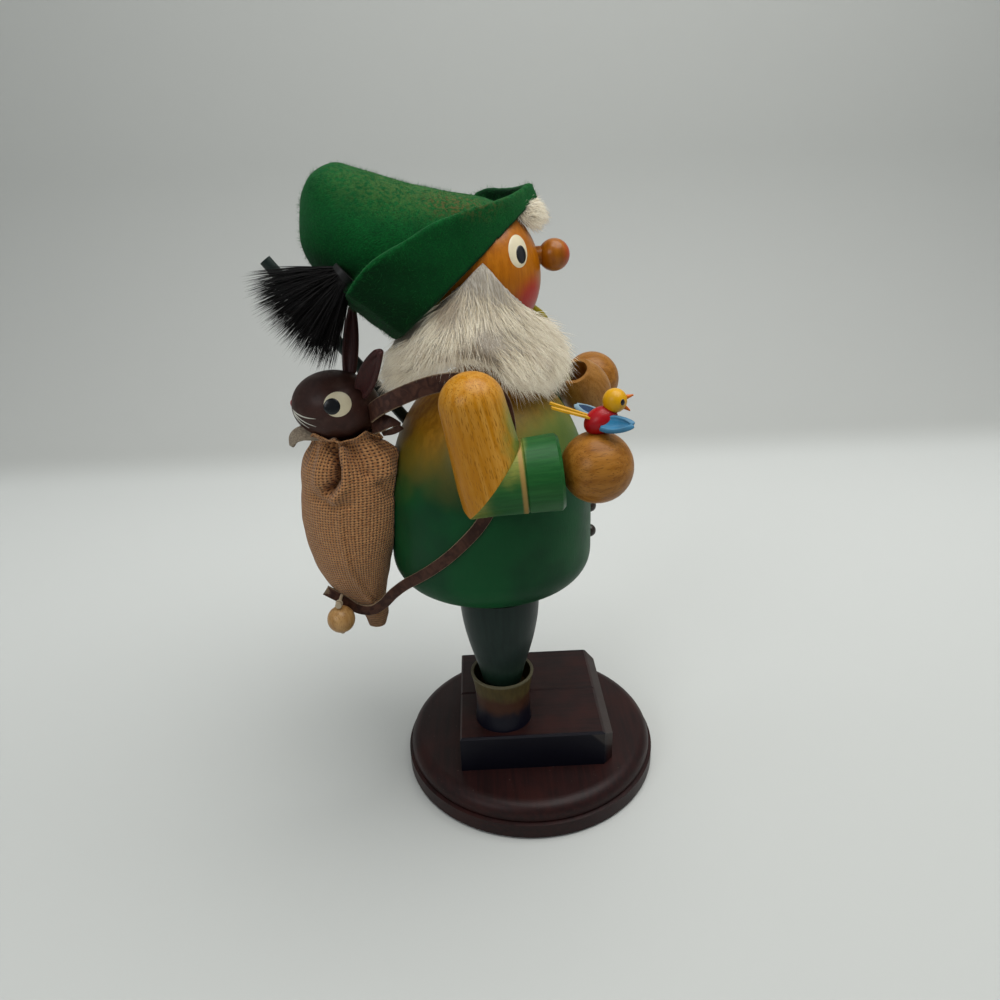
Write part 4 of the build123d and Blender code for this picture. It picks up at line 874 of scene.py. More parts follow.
# %% Combing and laying the fur
def fur_piece(name, node, flow_at, near, inset, layers, sag, reshape):
    """Fur on the space of a node: a ground and some layers of (density, length, stray, lift)."""
    ground = even_copy(name, (node,), 1.0, 4, inset)
    move_to(ground.data, reshape(points_of(ground.data)))
    ground.data.materials.append(skin.material)
    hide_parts(node)
    points, normals = points_of(ground.data), normals_of(ground.data)
    hairy = np.clip((clearance(points, tree_of(*near)) - 0.5 - inset) / 1.2, 0, 1)
    flow = unit(flow_at(points))
    flow = unit(flow - normals * (flow * normals).sum(axis=1, keepdims=True))
    pieces = [ground]

    def bend(points, along, tone):
        sway = [np.sin(tone * 40 + along * 3) * 0.9, np.cos(tone * 71) * 0.7, -sag[0] - tone * sag[1]]
        return points + along ** 2 * np.hstack(sway) * MM

    for count, (density, length, stray, lift) in enumerate(layers):
        locks = np.column_stack([
            ripple(points, 3.2, 20 + seed + count) + ripple(points, 8, 30 + seed) * 1.4
            for seed in range(3)])
        layer = add_object(f"{name}_layer", ground.data.copy())
        comb(layer, unit(flow + locks * 0.4 + normals * lift), hairy)
        pieces.append(lay_strands(f"{name}_hair_{count}", layer, 4, fur, bend, Per_square_mm=density,
                                  Length=length * MM, Thickness=0.17 * MM, Unevenness=0.55,
                                  Stray=stray, Seed=31 + count))
        bpy.data.objects.remove(layer)
    for piece in pieces:
        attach(piece, "figure")


# %% How the beard lies
def beard_flow(points):
    """Forward to the chin in front, back over the strap behind, and outwards at the sides."""
    back = np.clip((points[:, 1] / MM - 8) / 34, 0, 1)[:, None]
    sides = np.sign(points[:, :1]) * np.array([0.12, 0, 0])
    return (np.array([0, -0.75, -0.66]) * (1 - back) + np.array([0, 0.82, -0.57]) * back + sides
            + np.array([0, 0, -0.25]))


BODY_Y = 12.8
HEM = [  # the height of the beard's lower edge at each y, in mm
    (-19, 165), (-16, 160.5), (-8, 156.5), (0, 156), (4, 157), (7.5, 160), (10.5, 163), (16.4, 166),
    (27, 165.2), (36.4, 162), (43.5, 158.5), (50, 154)]


def lift_hem(points):
    """Draws the lower edge up over the arm in front and over the strap behind."""
    sectors, fixed_above = 72, 184
    x, y, z = (points / MM).T
    bins = ((np.arctan2(x, y - BODY_Y) / math.pi + 1) * sectors / 2).astype(int) % sectors
    low = np.array([z[bins == index].min() if (bins == index).any() else 1e9
                    for index in range(sectors)])
    low = np.where(low > 1e8, np.median(low), low)
    low = np.convolve(np.concatenate([low[-3:], low, low[:3]]), np.ones(7) / 7, "valid")[bins]
    hem = np.interp(y, *np.array(HEM).T) - np.clip(24 - np.abs(x), 0, 24) * 0.2 + 3.5
    share = np.clip((fixed_above - z) / np.maximum(fixed_above - low, 1), 0, 1)
    z = z + np.maximum(hem - low, 0) * share
    return np.column_stack([x, y, z]) * MM


def small_lock(points):
    """Tucks the forelock up under the hat's beak."""
    middle = points.mean(axis=0)
    return middle + (points - middle) * 0.84 + np.array([0, 1.2, 1.5]) * MM


# %% Beard and forelock
fur_piece("beard_fur", "beard", beard_flow, ("head", "body_shell", "hat_crown", "hat_brim",
          "upper_arm_right", "upper_arm_left", "pipe_stem"), 1.2,
          ((1.7, 9.5, 0.18, 0.26), (1.2, 9.0, 0.42, 0.42)), (0.9, 0.8), lift_hem)
fur_piece("forelock_fur", "forelock", lambda points: np.tile([0, -0.75, -0.2], (len(points), 1)),
          ("head",), 0.1, ((7.0, 3.8, 0.5, 0.6),), (0.5, 0.5), small_lock)

# %% [markdown]
# ## The burlap sack
# The sack is a tube of coarse plain weave, sewn up one side, gathered round the hare's neck and
# stuffed. It starts as a grid whose rows follow the solid's ovals, with a UV map in threads, so
# that the weave follows every fold. A short cloth simulation under pressure then evens it out. The
# grid is full already, so no point moves by more than a fraction of a millimetre. It runs at ten
# times the size, because the solver is tuned for clothes, and the gathered neck is pinned.

# %% Burlap
THREAD = 0.98
burlap = Finish("burlap", Sheen_Weight=0.15, Roughness=0.85)
threads = burlap.parts(burlap.node("ShaderNodeUVMap", {"uv_map": "cloth"}, ()))
wobble = burlap.waver(2.2, 0.9, 2)
warp_sine, weft_sine = ((way * (100 * math.pi / THREAD) + wobble).sine() for way in threads[:2])
over = warp_sine * weft_sine
warp_high, weft_high = warp_sine.size(), weft_sine.size()
gap = (1 - warp_high) * (1 - weft_high)
rise = warp_high * (0.75 + over * 0.25) + weft_high * (0.75 - over * 0.25)
slub = burlap.noise(span=1.1, detail=3)
burlap.feed(Base_Color=burlap.over(
    burlap.mix(slub.step(0.3, 0.7), (0.46, 0.215, 0.095), (0.62, 0.335, 0.16)), (
        (burlap.patch(18, 0.4, 0.7, 3) * 0.35, (0.37, 0.2, 0.1)),
        (gap.step(0.1, 0.34) * 0.97, (0.07, 0.028, 0.012)))))
burlap.bump(rise, 0.32)

# %% The grid of the sack
SACK_X, SACK_Y, SACK_FOOT, SACK_LENGTH, SACK_RADIUS = -8, 63.0, 67.72, 74, 16
SACK_OVALS = [
    (0.0, -0.37, 0.19, 0.16), (0.06, -0.37, 0.28, 0.25), (0.17, -0.16, 0.5, 0.41),
    (0.30, -0.03, 0.75, 0.62), (0.44, 0.0, 0.92, 0.78), (0.60, 0.0, 1.0, 0.84),
    (0.76, -0.06, 1.0, 0.84), (0.90, -0.09, 0.91, 0.75), (0.965, -0.09, 0.68, 0.61),
    (1.0, -0.09, 0.62, 0.55), (1.03, -0.09, 0.74, 0.7),
]
AROUND, TALL = 128, 150


def through(table, count):
    """Rows of a table, spread evenly by the first column and joined smoothly."""
    table = np.array(table)
    marks = np.linspace(table[0, 0], table[-1, 0], count)
    slopes = np.gradient(table, table[:, 0], axis=0)
    rows = []
    for mark in marks:
        index = min(max(np.searchsorted(table[:, 0], mark) - 1, 0), len(table) - 2)
        span = table[index + 1, 0] - table[index, 0]
        t = (mark - table[index, 0]) / span
        rows.append((2 * t ** 3 - 3 * t ** 2 + 1) * table[index]
                    + (t ** 3 - 2 * t ** 2 + t) * span * slopes[index]
                    + (3 * t ** 2 - 2 * t ** 3) * table[index + 1]
                    + (t ** 3 - t ** 2) * span * slopes[index + 1])
    return np.array(rows)


def sack_grid():
    """Points and faces of the tube, its foot closed by a point."""
    rows = through(SACK_OVALS, TALL)
    points = []
    for height, shift, depth, width in rows:
        for index in range(AROUND):
            angle = 2 * math.pi * index / AROUND
            gather = 1 + 0.05 * math.sin(9 * angle + 2) * max(0, (height - 0.86) / 0.14)
            points.append((SACK_X + width * SACK_RADIUS * math.sin(angle) * gather,
                           SACK_Y + (shift + depth * math.cos(angle) * gather) * SACK_RADIUS,
                           SACK_FOOT + height * SACK_LENGTH))
    points.append((SACK_X, SACK_Y + rows[0][1] * SACK_RADIUS, SACK_FOOT - 0.6))
    faces = net(TALL, AROUND, closed=True, flip=True)
    faces += [(len(points) - 1, index, (index + 1) % AROUND) for index in range(AROUND)]
    return np.array(points), faces


# %% The sack and its threads
sack_points, sack_faces = sack_grid()
sack = new_piece("sack_burlap", sack_points * MM, sack_faces, burlap)
print("sack points:", len(sack_points))
weave = sack.data.uv_layers.new(name="cloth")
for polygon in sack.data.polygons:
    corners = [sack.data.loops[loop].vertex_index for loop in polygon.loop_indices]
    at_seam = any(corner % AROUND == AROUND - 1 for corner in corners)
    for loop, corner in zip(polygon.loop_indices, corners):
        on_wall = corner < AROUND * TALL
        column = corner % AROUND if on_wall else polygon.index % AROUND
        column = AROUND if on_wall and column == 0 and at_seam else column
        row = min(corner // AROUND, TALL - 1)
        weave.data[loop].uv = (column / AROUND * 0.92, row / (TALL - 1) * 0.78)


# %% Cloth under pressure
def puff(piece, pressure, cap, held):
    """Cloth simulation. No point moves past the cap (mm), and held is its hold from 0 to 1."""
    scale, frames = 10, 20
    rest = points_of(piece.data)
    twin = add_object("sack_twin", piece.data.copy())
    move_to(twin.data, rest * scale)
    group = twin.vertex_groups.new(name="held")
    for index, weight in enumerate(held):
        group.add([index], float(weight), "REPLACE")
    cloth = twin.modifiers.new("cloth", "CLOTH")
    for setting, value in (
            ("vertex_group_mass", "held"), ("use_pressure", True), ("mass", 0.4),
            ("uniform_pressure_force", pressure), ("tension_stiffness", 12),
            ("compression_stiffness", 12), ("bending_stiffness", 0.4)):
        setattr(cloth.settings, setting, value)
    cloth.settings.effector_weights.gravity = 0
    cloth.collision_settings.use_collision = False
    for number in range(1, frames + 1):
        bpy.context.scene.frame_set(number)
    moved = points_of(final_mesh(twin)) / scale - rest
    bpy.data.objects.remove(twin)
    bpy.context.scene.frame_set(1)
    length = np.linalg.norm(moved, axis=1, keepdims=True)
    moved *= np.minimum(1, cap * MM / np.maximum(length, 1e-9))
    move_to(piece.data, rest + moved)
    print("cloth moved up to", round(float(length.max() / MM), 2), "mm")


# %% The sack evened out
heights = (sack_points[:, 2] - SACK_FOOT) / SACK_LENGTH
hold = np.clip((heights - 0.9) / 0.06, 0, 1) + np.clip((0.08 - heights) / 0.04, 0, 1)
puff(sack, pressure=3.0, cap=1.6, held=np.clip(hold, 0, 1))

# %% [markdown]
# The deep folds are pressed in afterwards, where the gathered neck pulls the cloth: a
# cleft that curls under a lip at the back, a softer one beside it, and pleats all round below the
# neck. The side seam stands up as a ridge down the middle of the near side.


# %% Folds, seam and collar
def valley(points, line, width):
    """1 on a line through (y, z) points in mm, falling to 0 over its width on both sides."""
    flat = points[:, 1:] / MM
    best = np.full(len(points), 1e9)
    for start, end in zip(line[:-1], line[1:]):
        start, way = np.array(start), np.array(end) - np.array(start)
        share = np.clip(((flat - start) @ way) / (way @ way), 0, 1)[:, None]
        best = np.minimum(best, np.linalg.norm(flat - start - share * way, axis=1))
    return np.exp(-(best / width) ** 2)


# %% The folds pressed in
points, normals = points_of(sack.data), normals_of(sack.data)
if (normals[:, 0] * (points[:, 0] / MM - SACK_X)).mean() < 0:
    sack.data.flip_normals()
    normals = normals_of(sack.data)
near = np.clip((SACK_X - points[:, 0] / MM) / 4, 0, 1)
far = np.clip((points[:, 0] / MM - SACK_X) / 4, 0, 1)
FOLDS = [  # which side, depth and width of the fold, and its line through (y, z) points, in mm
    (near, -7.0, 1.35, [(63.8, 141), (62.8, 135), (63.4, 130), (66.5, 126.5)]),
    (near, 2.3, 1.7, [(61.0, 139.5), (60.2, 134), (61, 128), (64.5, 123.5)]),
    (near, 1.8, 2.2, [(67.6, 140), (68.6, 134), (69.6, 129)]),
    (near, -2.6, 1.2, [(57.6, 140), (56.2, 135.5), (54.6, 131.5)]),
    (near, 2.0, 1.8, [(54.4, 140.5), (51.6, 136.5), (50, 131)]),
    (near, -1.3, 1.6, [(51.5, 127), (49, 122)]),
    (near, -1.1, 1.6, [(71.5, 124), (66.5, 121.5), (60, 121.5)]),
    (near, 0.75, 0.9, [(63.2, 120), (63.8, 110), (63, 98), (59.5, 86), (56.4, 78)]),
    (near, -0.5, 0.8, [(61.6, 120), (62.2, 110), (61.4, 98), (57.9, 86), (54.8, 78)]),
    (far, -2.6, 2.0, [(60.5, 139), (62.5, 131), (61, 123)]),
    (far, -1.4, 1.6, [(69.5, 138), (71, 130)]),
    (far, -0.9, 2.2, [(55, 118), (62, 112), (68, 113)]),
]
shape = sum(side * depth * valley(points, line, width) for side, depth, width, line in FOLDS)

# %% Pleats and collar
ring_angle = np.arctan2(points[:, 0] / MM - SACK_X, points[:, 1] / MM - SACK_Y)
tight = np.exp(-((heights - 0.96) / 0.07) ** 2)
shape += tight * (0.5 * np.sin(11 * ring_angle + 1.3) + 0.3 * np.sin(17 * ring_angle))
shape += ripple(points, 5, 8) * 0.35 * np.clip(1 - heights, 0.1, 1) + ripple(points, 2.2, 9) * 0.1
points = points + normals * shape[:, None] * MM
flat_y, flat_z = points[:, 1] / MM, points[:, 2] / MM
points[:, 1] -= near * MM * (
    np.exp(-((flat_z - 122) / 19) ** 4) * np.clip((60 - flat_y) / 12, 0, 1) * 3.6
    + np.exp(-((flat_z - 139) / 4.5) ** 2) * np.clip((58 - flat_y) / 7, 0, 1) * 3.8)
flare = np.clip((heights - 0.985) / 0.045, 0, 1)
ruffle = 1.2 * np.sin(5 * ring_angle + 0.6) + 0.8 * np.sin(8 * ring_angle + 2.1)
points[:, 2] += flare * (ruffle - 0.3) * MM

# %% Clear of the coat and the hare
coat_tree, hare_tree = tree_of("body_shell"), tree_of("hare_head")
for index, point in enumerate(points):
    for tree, room in ((coat_tree, 0.3), (hare_tree, 0.25)):
        hit, normal, _, distance = tree.find_nearest(Vector(point), 8 * MM)
        if hit is not None and ((Vector(point) - hit).dot(normal) < room * MM):
            points[index] = hit + normal * room * MM
move_to(sack.data, points)
wall = sack.modifiers.new("cloth_thickness", "SOLIDIFY")
wall.thickness = 0.45 * MM
wall.offset = -1
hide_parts("sack")
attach(sack, "figure")

# %% [markdown]
# ## The hat brush
# The brush is a bundle of stiff black bristles held in a tin ferrule. They leave it close
# together, fan out, and sag a little at the tips. The same strand tree lays them on a small disc
# whose directions fan outwards.

# %% Bristles
bristle = Finish("bristle_black", Specular_IOR_Level=0.08)
each = bristle.tone("tone")
bristle.feed(Base_Color=bristle.mix(each, (0.0015, 0.0015, 0.002), (0.009, 0.008, 0.008)),
             Roughness=each * 0.2 + 0.35)
WAY = Vector((-0.120, 0.80, -0.585)).normalized()
ROOT = Vector((-20.51, 55.1, 194.2)) - WAY * 1.6
ACROSS = Vector((0, 0, 1)).cross(WAY).normalized()
ASIDE = WAY.cross(ACROSS)


# %% A disc to stand them on
def bristle_disc(radius):
    """A small disc of faces at the ferrule's mouth."""
    build = bmesh.new()
    bmesh.ops.create_grid(build, x_segments=14, y_segments=14, size=radius * MM)
    seat = Matrix.Translation(ROOT * MM + WAY * MM) @ Matrix((ACROSS, ASIDE, WAY)).transposed().to_4x4()
    bmesh.ops.transform(build, verts=build.verts, matrix=seat)
    mesh = bpy.data.meshes.new("bristle_disc")
    build.to_mesh(mesh)
    build.free()
    return add_object("bristle_disc", mesh)


BRUSH_RADIUS, FAN = 4.0, math.radians(33)
disc = bristle_disc(BRUSH_RADIUS)
outward = points_of(disc.data) / MM - np.array(ROOT + WAY)
spread = outward / BRUSH_RADIUS * math.tan(FAN)
inside = np.linalg.norm(outward, axis=1) < BRUSH_RADIUS + 0.1
comb(disc, unit(np.array(WAY) + spread), inside.astype(float))


# %% The brush
def bristle_bend(points, along, tone):
    """Tips sag a little and sway apart."""
    sway = np.hstack([np.sin(tone * 50) * 1.6, np.cos(tone * 83) * 1.5, -0.4 - 1.6 * tone])
    return points + along ** 2.2 * sway * MM


brush = lay_strands("hat_brush", disc, 6, bristle, bristle_bend, Per_square_mm=42.0, Length=26.2 * MM,
                    Thickness=0.26 * MM, Unevenness=0.22, Stray=0.16, Seed=5)
bpy.data.objects.remove(disc)
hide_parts("hat_tuft")
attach(brush, "figure")

# %% [markdown]
# ## The leather strap
# The strap is cut from thin hide: dark and smooth on its faces, pale and fuzzy at the cut edges.
# It runs from the sack's neck over the shoulder, under the arm and round to the sack's foot, where
# its end is cut to a fishtail. The ribbon takes the same way as the solid, with rounded corners,
# and an attribute marks the cut edges so that they can be paler.

# %% Leather
leather = Finish("strap_leather", Coat_Weight=0.03, Coat_Roughness=0.4, Specular_IOR_Level=0.18)
pores = leather.noise(span=0.5, detail=4)
creases = leather.noise(span=3.2, detail=4, distortion=1.2)
hide = leather.mix(creases.step(0.35, 0.7), (0.034, 0.012, 0.008), (0.082, 0.036, 0.024))
edge_mark = leather.tone("cut_edge") * leather.patch(0.7, 0.25, 0.5, 3)
leather.feed(Base_Color=leather.mix(edge_mark, hide, (0.36, 0.27, 0.18)), Roughness=pores * 0.3 + 0.4)
leather.bump(pores + creases * 0.5, 0.12)
suede = two_tone("suede", lambda finish: finish.noise(finish.grain((0, 1, 0.4), 0.3, 1.4), 4),
                 (0.2, 0.155, 0.11), (0.4, 0.33, 0.25), 0.25, (0.3, 0.7), Sheen_Weight=0.3,
                 Roughness=0.95)
ear_leather = two_tone("ear_brown", lambda finish: finish.noise(span=0.8, detail=4),
                       (0.036, 0.009, 0.009), (0.07, 0.021, 0.019), 0.12, (0.3, 0.7), (0.3, 0.45),
                       Coat_Weight=0.05, Coat_Roughness=0.4, Specular_IOR_Level=0.3)

# %% The strap's route
STRAP = [
    ((-15.4, 50.8, 151.0), (-0.37, 0.93)), ((-20.1, 49.0, 153.3), (-0.50, 0.87)),
    ((-22.3, 45.9, 155.6), (-0.64, 0.77)), ((-22.8, 41.0, 157.9), (-0.77, 0.64)),
    ((-23.9, 34.4, 160.6), (-0.91, 0.42)), ((-24.8, 27.7, 162.5), (-0.98, 0.17)),
    ((-26.8, 19.5, 163.3), (-1.00, 0.09)), ((-28.9, 12.8, 161.8), (-1.00, 0.00)),
    ((-30.2, 8.8, 158.3), (-1.00, -0.07)), ((-30.8, 7.0, 153.3), (-0.99, -0.12)),
    ((-31.7, 6.3, 145.6), (-0.99, -0.16)), ((-32.6, 7.4, 136.4), (-0.99, -0.14)),
    ((-35.4, 11.6, 127.1), (-1.00, -0.03)), ((-36.4, 16.6, 119.0), (-0.99, 0.10)),
    ((-35.9, 21.8, 112.9), (-0.97, 0.24)), ((-34.3, 27.3, 107.1), (-0.92, 0.39)),
    ((-31.4, 32.8, 101.7), (-0.84, 0.54)), ((-27.5, 38.0, 96.7), (-0.74, 0.68)),
    ((-23.1, 43.5, 91.7), (-0.77, 0.64)), ((-19.4, 48.5, 86.3), (-0.94, 0.34)),
    ((-16.5, 52.7, 80.9), (-1.00, 0.09)), ((-15.4, 57.4, 77.8), (-1.00, 0.00)),
    ((-15.0, 62.6, 78.6), (-1.00, 0.00)), ((-14.7, 67.6, 82.5), (-1.00, 0.00)),
    ((-14.5, 73.3, 86.3), (-1.00, 0.00)),
]


# %% A smooth line
def smooth_rows(rows, steps):
    """Rows of numbers joined by a smooth curve that passes through each of them."""
    rows = np.array(rows, dtype=float)
    padded = np.vstack([2 * rows[0] - rows[1], rows, 2 * rows[-1] - rows[-2]])
    out = []
    for index in range(len(rows) - 1):
        a, b, c, d = padded[index:index + 4]
        for step in range(steps):
            t = step / steps
            out.append(0.5 * (2 * b + (c - a) * t + (2 * a - 5 * b + 4 * c - d) * t ** 2
                              + (3 * b - 3 * c + d - a) * t ** 3))
    return np.array(out + [rows[-1]])


# %% Ribbons with rounded corners
RIBBON_SECTION = (  # across and outwards as shares of the half sizes, and how much it is a cut edge
    (-1, -0.5, 1), (-0.97, -1, 0.6), (-0.88, -1, 0), (0, -1, 0), (0.88, -1, 0), (0.97, -1, 0.6),
    (1, -0.5, 1), (1, 0.5, 1), (0.97, 0.9, 0.6), (0.88, 1, 0), (0, 1, 0), (-0.88, 1, 0),
    (-0.97, 0.9, 0.6), (-1, 0.5, 1))


def ribbon(name, rows, width, thickness, finish, taper, notch=0.0):
    """A flat strip along rows of (x, y, z, face direction), with rounded corners, in mm."""
    between, end_rows = 6, 6
    rows = smooth_rows(rows, between)
    places, faces_out = rows[:, :3], rows[:, 3:]
    ways = unit(np.gradient(places, axis=0))
    faces_out = unit(faces_out - ways * (faces_out * ways).sum(axis=1, keepdims=True))
    sides = np.cross(ways, faces_out)
    points, edges = [], []
    count = len(RIBBON_SECTION)
    for index in range(len(rows)):
        narrow = taper(index / (len(rows) - 1))
        last = max(0, (index - len(rows) + 1 + end_rows) / end_rows)
        for across, out, edge in RIBBON_SECTION:
            back = notch * last * (1 - abs(across))
            points.append((places[index] + sides[index] * across * width / 2 * narrow
                           + faces_out[index] * out * thickness / 2 - ways[index] * back) * MM)
            edges.append(edge)
    faces = net(len(rows), count, closed=True)
    faces += [tuple(reversed(range(count))), tuple(range((len(rows) - 1) * count, len(rows) * count))]
    piece = new_piece(name, points, faces, finish, "figure")
    recalculate(piece)
    piece.data.attributes.new("cut_edge", "FLOAT", "POINT").data.foreach_set("value", edges)
    print(name, "length:", round(float(np.linalg.norm(np.diff(places, axis=0), axis=1).sum()), 1), "mm")
    return piece


def recalculate(piece):
    """Turns every face of a closed mesh outwards."""
    build = bmesh.new()
    build.from_mesh(piece.data)
    bmesh.ops.recalc_face_normals(build, faces=build.faces)
    build.to_mesh(piece.data)
    build.free()


# %% The strap and its loose ends
def strap_taper(share):
    return float(np.interp(share, (0, 0.28, 0.4, 0.6, 1), (1.3, 1.3, 1, 0.88, 0.88)))


STRAP_WIDTH, STRAP_THICKNESS, FLAP_THICKNESS = 4.4, 0.9, 0.75
strap = ribbon("strap_ribbon", [(*place, *face, 0) for place, face in STRAP], STRAP_WIDTH,
               STRAP_THICKNESS, leather, strap_taper, notch=2.4)
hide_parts("strap")
FLAPS = {  # width, taper, finish, slot and rows of the loose ends
    "strap_knot": (8.0, lambda share: 1 - 0.9 * share ** 1.3, leather, "strap_leather", [
        (-15.4, 50.6, 148.2, -0.8, 0.5, 0.1), (-18.0, 47.4, 148.8, -0.85, 0.35, 0.3),
        (-19.4, 44.2, 149.2, -0.9, 0.1, 0.35), (-19.4, 40.8, 148.4, -0.9, -0.2, 0.3)]),
    "strap_fold": (3.0, lambda share: 1 - 0.5 * share, leather, "strap_leather", [
        (-19.0, 41.0, 147.6, -0.9, -0.2, -0.3), (-18.4, 43.6, 145.8, -0.9, 0.1, -0.35),
        (-16.8, 47.2, 144.6, -0.9, 0.4, -0.3)]),
    "strap_tongue": (5.4, lambda share: 0.15 + 0.85 * math.sin(math.pi * (0.14 + 0.8 * share)), suede,
                     "suede", [
        (-13.0, 66.6, 143.4, -0.75, 0, 0.66), (-14.0, 70.2, 144.6, -0.7, 0, 0.7),
        (-14.4, 73.6, 145.2, -0.75, 0.15, 0.62), (-14.6, 76.6, 143.8, -0.85, 0.35, 0.35),
        (-14.4, 78.0, 140.8, -0.85, 0.5, 0.05)]),
}
for name, (width, taper, finish, slot, rows) in FLAPS.items():
    flap = ribbon(f"{name}_cut", rows, width, FLAP_THICKNESS, finish, taper)
    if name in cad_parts:
        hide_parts(name)

# %% [markdown]
# ## Leaf-shaped pieces
# The hare's ears are cupped leather with a thick rim, and the bird's wings are small painted
# petals. Both are one leaf: a grid that is wide in the middle and pointed at the end, cupped
# along its length, and given a thickness.


# %% Leaves
def leaf(name, node, root, way, flat, length, width, thick, cup, finish):
    """A cupped leaf that replaces a node. root is in mm, and flat is the side it is open to."""
    way = Vector(way).normalized()
    flat = (Vector(flat) - way * Vector(flat).dot(way)).normalized()
    side = way.cross(flat)
    rows, columns = 26, 14
    points, rim = [], []
    for row in range(rows + 1):
        share = row / rows
        half = width / 2 * max(0.03, (math.sin(math.pi * (0.13 + 0.87 * share) ** 0.85)) ** 0.6)
        for column in range(columns + 1):
            across = 2 * column / columns - 1
            bent = cup * (across ** 2) * width / 2 + abs(across) ** 3 * thick * 0.4
            points.append((root + way * share * length + side * across * half + flat * bent) * MM)
            rim.append(1.0 if abs(across) > 0.8 or share > 0.93 else 0.0)
    piece = new_piece(name, points, net(rows + 1, columns + 1), finish, "figure")
    piece.data.attributes.new("cut_edge", "FLOAT", "POINT").data.foreach_set("value", rim)
    wall = piece.modifiers.new("thickness", "SOLIDIFY")
    wall.thickness = thick * MM
    wall.offset = 0
    soft_edge = piece.modifiers.new("soft", "SUBSURF")
    soft_edge.levels = soft_edge.render_levels = 1
    apply_all(piece)
    recalculate(piece)
    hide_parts(node)


# %% Ears and wings
HARE, BIRD = Vector((-8, 63, 152.34)), Vector((-44.84, -19.73, 154.59))
EAR_SEAT, EAR_LENGTH, EAR_THICKNESS, EAR_CUP, EAR_OPEN_TO = 11.8, 22.6, 1.6, 0.3, (-0.92, 0.3, 0.25)
WING_LENGTH, WING_THICKNESS, WING_CUP, WING_RIM = 9.4, 1.5, 0.1, (0.32, 0.45, 0.52)
EARS = {"right": ((-0.5, -0.86, 0.50), (-0.60, -0.40, 0.69), 6.8),
        "left": ((0.42, -0.42, 0.78), (0.31, -0.1, 0.945), 5.2)}
# The far wing's blue is painted much darker than the near wing's, as painted shade.
WINGS = {"right": ((-2.6, 0.4, -0.4), (-0.35, -0.93, 0.02), (-0.75, 0.1, 0.62), 5.2,
                   (0.045, 0.2, 0.36), 0.15),
         "left": ((2.5, 0, 0), (0.75, 0.62, 0.2), (-0.3, 0, 1), 4.8, (0.012, 0.04, 0.1), 0.8)}
# The foot of each ear or wing is measured from the middle of the head or body it stands on.
for side, (foot, way, breadth) in EARS.items():
    leaf(f"ear_{side}", f"hare_ear_{side}", HARE + Vector(foot) * EAR_SEAT, way, EAR_OPEN_TO,
         EAR_LENGTH, breadth, EAR_THICKNESS, EAR_CUP, ear_leather)
for side, (foot, way, open_to, breadth, colour, rim) in WINGS.items():
    paint = dipped(f"wing_blue_{side}", colour, 0.42, 0.2, slow=0.5,
                   edge=lambda finish: ((finish.tone("cut_edge") * rim, WING_RIM),))
    leaf(f"wing_{side}", f"bird_wing_{side}", BIRD + Vector(foot), way, open_to, WING_LENGTH, breadth,
         WING_THICKNESS, WING_CUP, paint)

# %% [markdown]
# ## Thread and glue
# The bead hangs on waxed thread, and a few beads of clear glue have squeezed out beside the shoe.

# %% Thread
thread = two_tone("thread", lambda finish: finish.noise(finish.grain((1, 1, 1), 0.12, 0.6), 2),
                  (0.62, 0.52, 0.38), (0.34, 0.26, 0.17), 0.05, Roughness=0.6)
dress(thread, "bead_thread", "thread_tie")

# %% Glue
glue = two_tone("clear_glue", lambda finish: finish.noise(span=1.2, detail=2), (0.11, 0.085, 0.07),
                (0.035, 0.018, 0.016), 0.15, Coat_Weight=0.8, Coat_Roughness=0.1, Roughness=0.2)
for count, (y, half) in enumerate(((5.2, 1.6), (2.2, 0.9), (-13.2, 2.2), (-16.6, 1.2))):
    daub(f"glue_{count}", "base_disc", (-29.2, y, 30), (0, 0, 1), (0.7, half), 0, glue,
         0.5, 0.05, "base")

# %% [markdown]
# ## Floor, backdrop and light
# The smoker stood on a pale sweep of card under soft daylight from above. The card curves up
# behind it. Its own colour makes the picture pale, so the lamps can stay low and the dark paints
# stay deep.

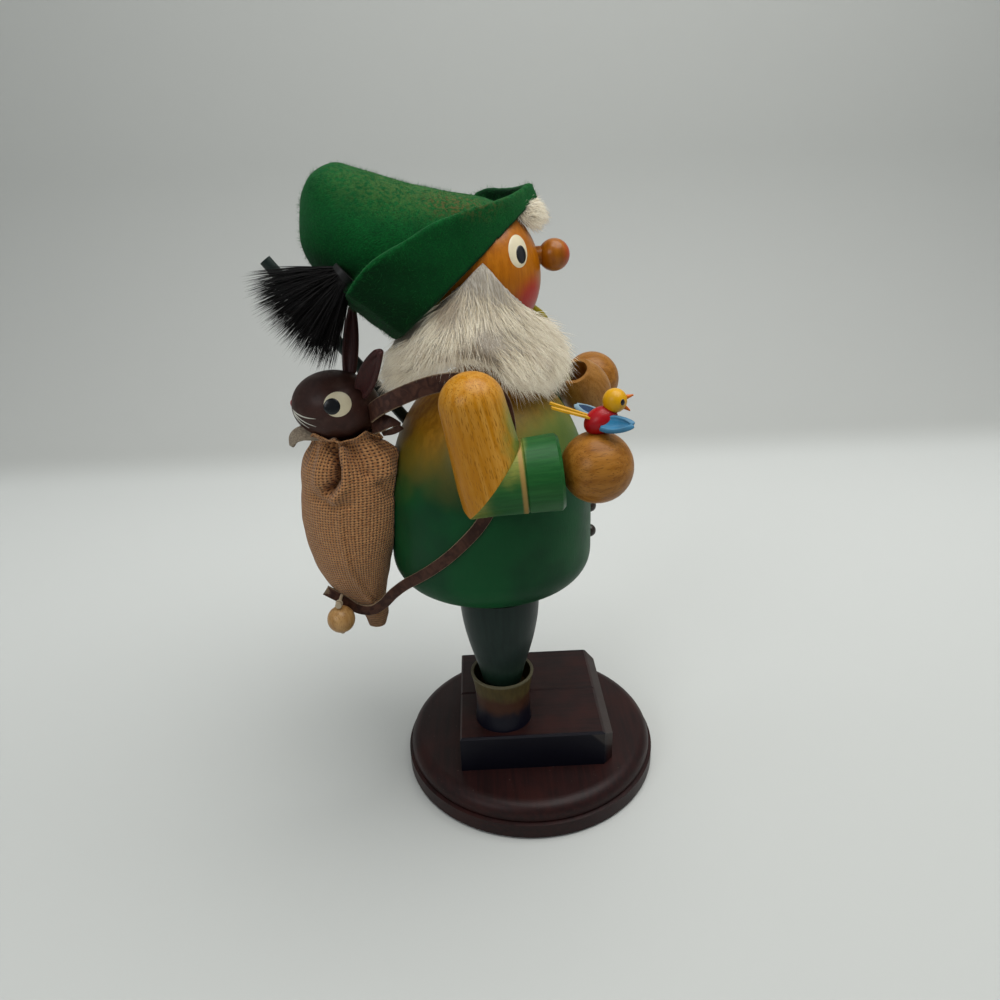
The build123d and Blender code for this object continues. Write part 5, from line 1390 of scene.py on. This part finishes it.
# %% Floor and backdrop
card = Finish("pale_card", Roughness=0.75)
# The floor is painted darker in front of the smoker and lighter behind it, and the card's curve and
# upright part darker again: painted light and shade on a card of one colour.
card_floor = card.mix(card.x.step(-0.15, 0.3), (0.47, 0.484, 0.467), (0.62, 0.637, 0.62))
card.feed({}, Base_Color=card.mix(card.x.step(0.33, 0.43), card_floor, (0.48, 0.492, 0.474)))
CARD_BACK, CARD_BEND, CARD_HALF_WIDTH = 0.4, 0.25, 6.0
sweep = [(-6.0 + index * 0.8, 0.0) for index in range(9)]
for index in range(1, 21):
    angle = math.radians(90 * index / 20)
    sweep.append((CARD_BACK + CARD_BEND * math.sin(angle), CARD_BEND - CARD_BEND * math.cos(angle)))
sweep += [(CARD_BACK + CARD_BEND, CARD_BEND + index * 0.12) for index in range(1, 13)]
card_points = [(x, side * CARD_HALF_WIDTH, z - 0.3 * MM) for x, z in sweep for side in (-1, 1)]
floor = new_piece("floor", card_points, net(len(sweep), 2, flip=True), card)


# %% Lamps
def lamp(name, place, target, size, power, colour):
    data = bpy.data.lights.new(name, "AREA")
    data.shape = "DISK"
    data.size, data.energy, data.color = size, power, colour
    item = add_object(name, data)
    item.location = place
    item.rotation_euler = (Vector(target) - Vector(place)).to_track_quat("-Z", "Y").to_euler()


lamp("window_above", (-0.1, -0.2, 1.0), (0, 0.01, 0.12), 1.0, 10.5, (1.0, 0.99, 0.97))
lamp("window_side", (-0.7, 0.6, 0.6), (0, 0.02, 0.12), 0.5, 2.2, (0.95, 0.98, 1.0))

# %% World
world = bpy.data.worlds.new("soft_room")
bpy.context.scene.world = world
world.use_nodes = True
room = Nodes(world.node_tree)
sideways = room.parts(room.node("ShaderNodeTexCoord", {}, (), "Generated"))[0]
glow = room.node("ShaderNodeBackground", {}, {
    "Color": (0.92, 0.96, 0.98, 1), "Strength": sideways.step(-0.75, 0.35) * 0.48 + 0.16})
beyond = room.node("ShaderNodeBackground", {}, {"Color": (0.47, 0.485, 0.472, 1)})
camera_looks = room.node("ShaderNodeLightPath", {}, (), "Is Camera Ray")
either = room.node("ShaderNodeMixShader", {}, (camera_looks, glow, beyond))
room.links.new(either.socket, room.nodes["World Output"].inputs["Surface"])
bpy.context.scene.view_settings.view_transform = "Standard"
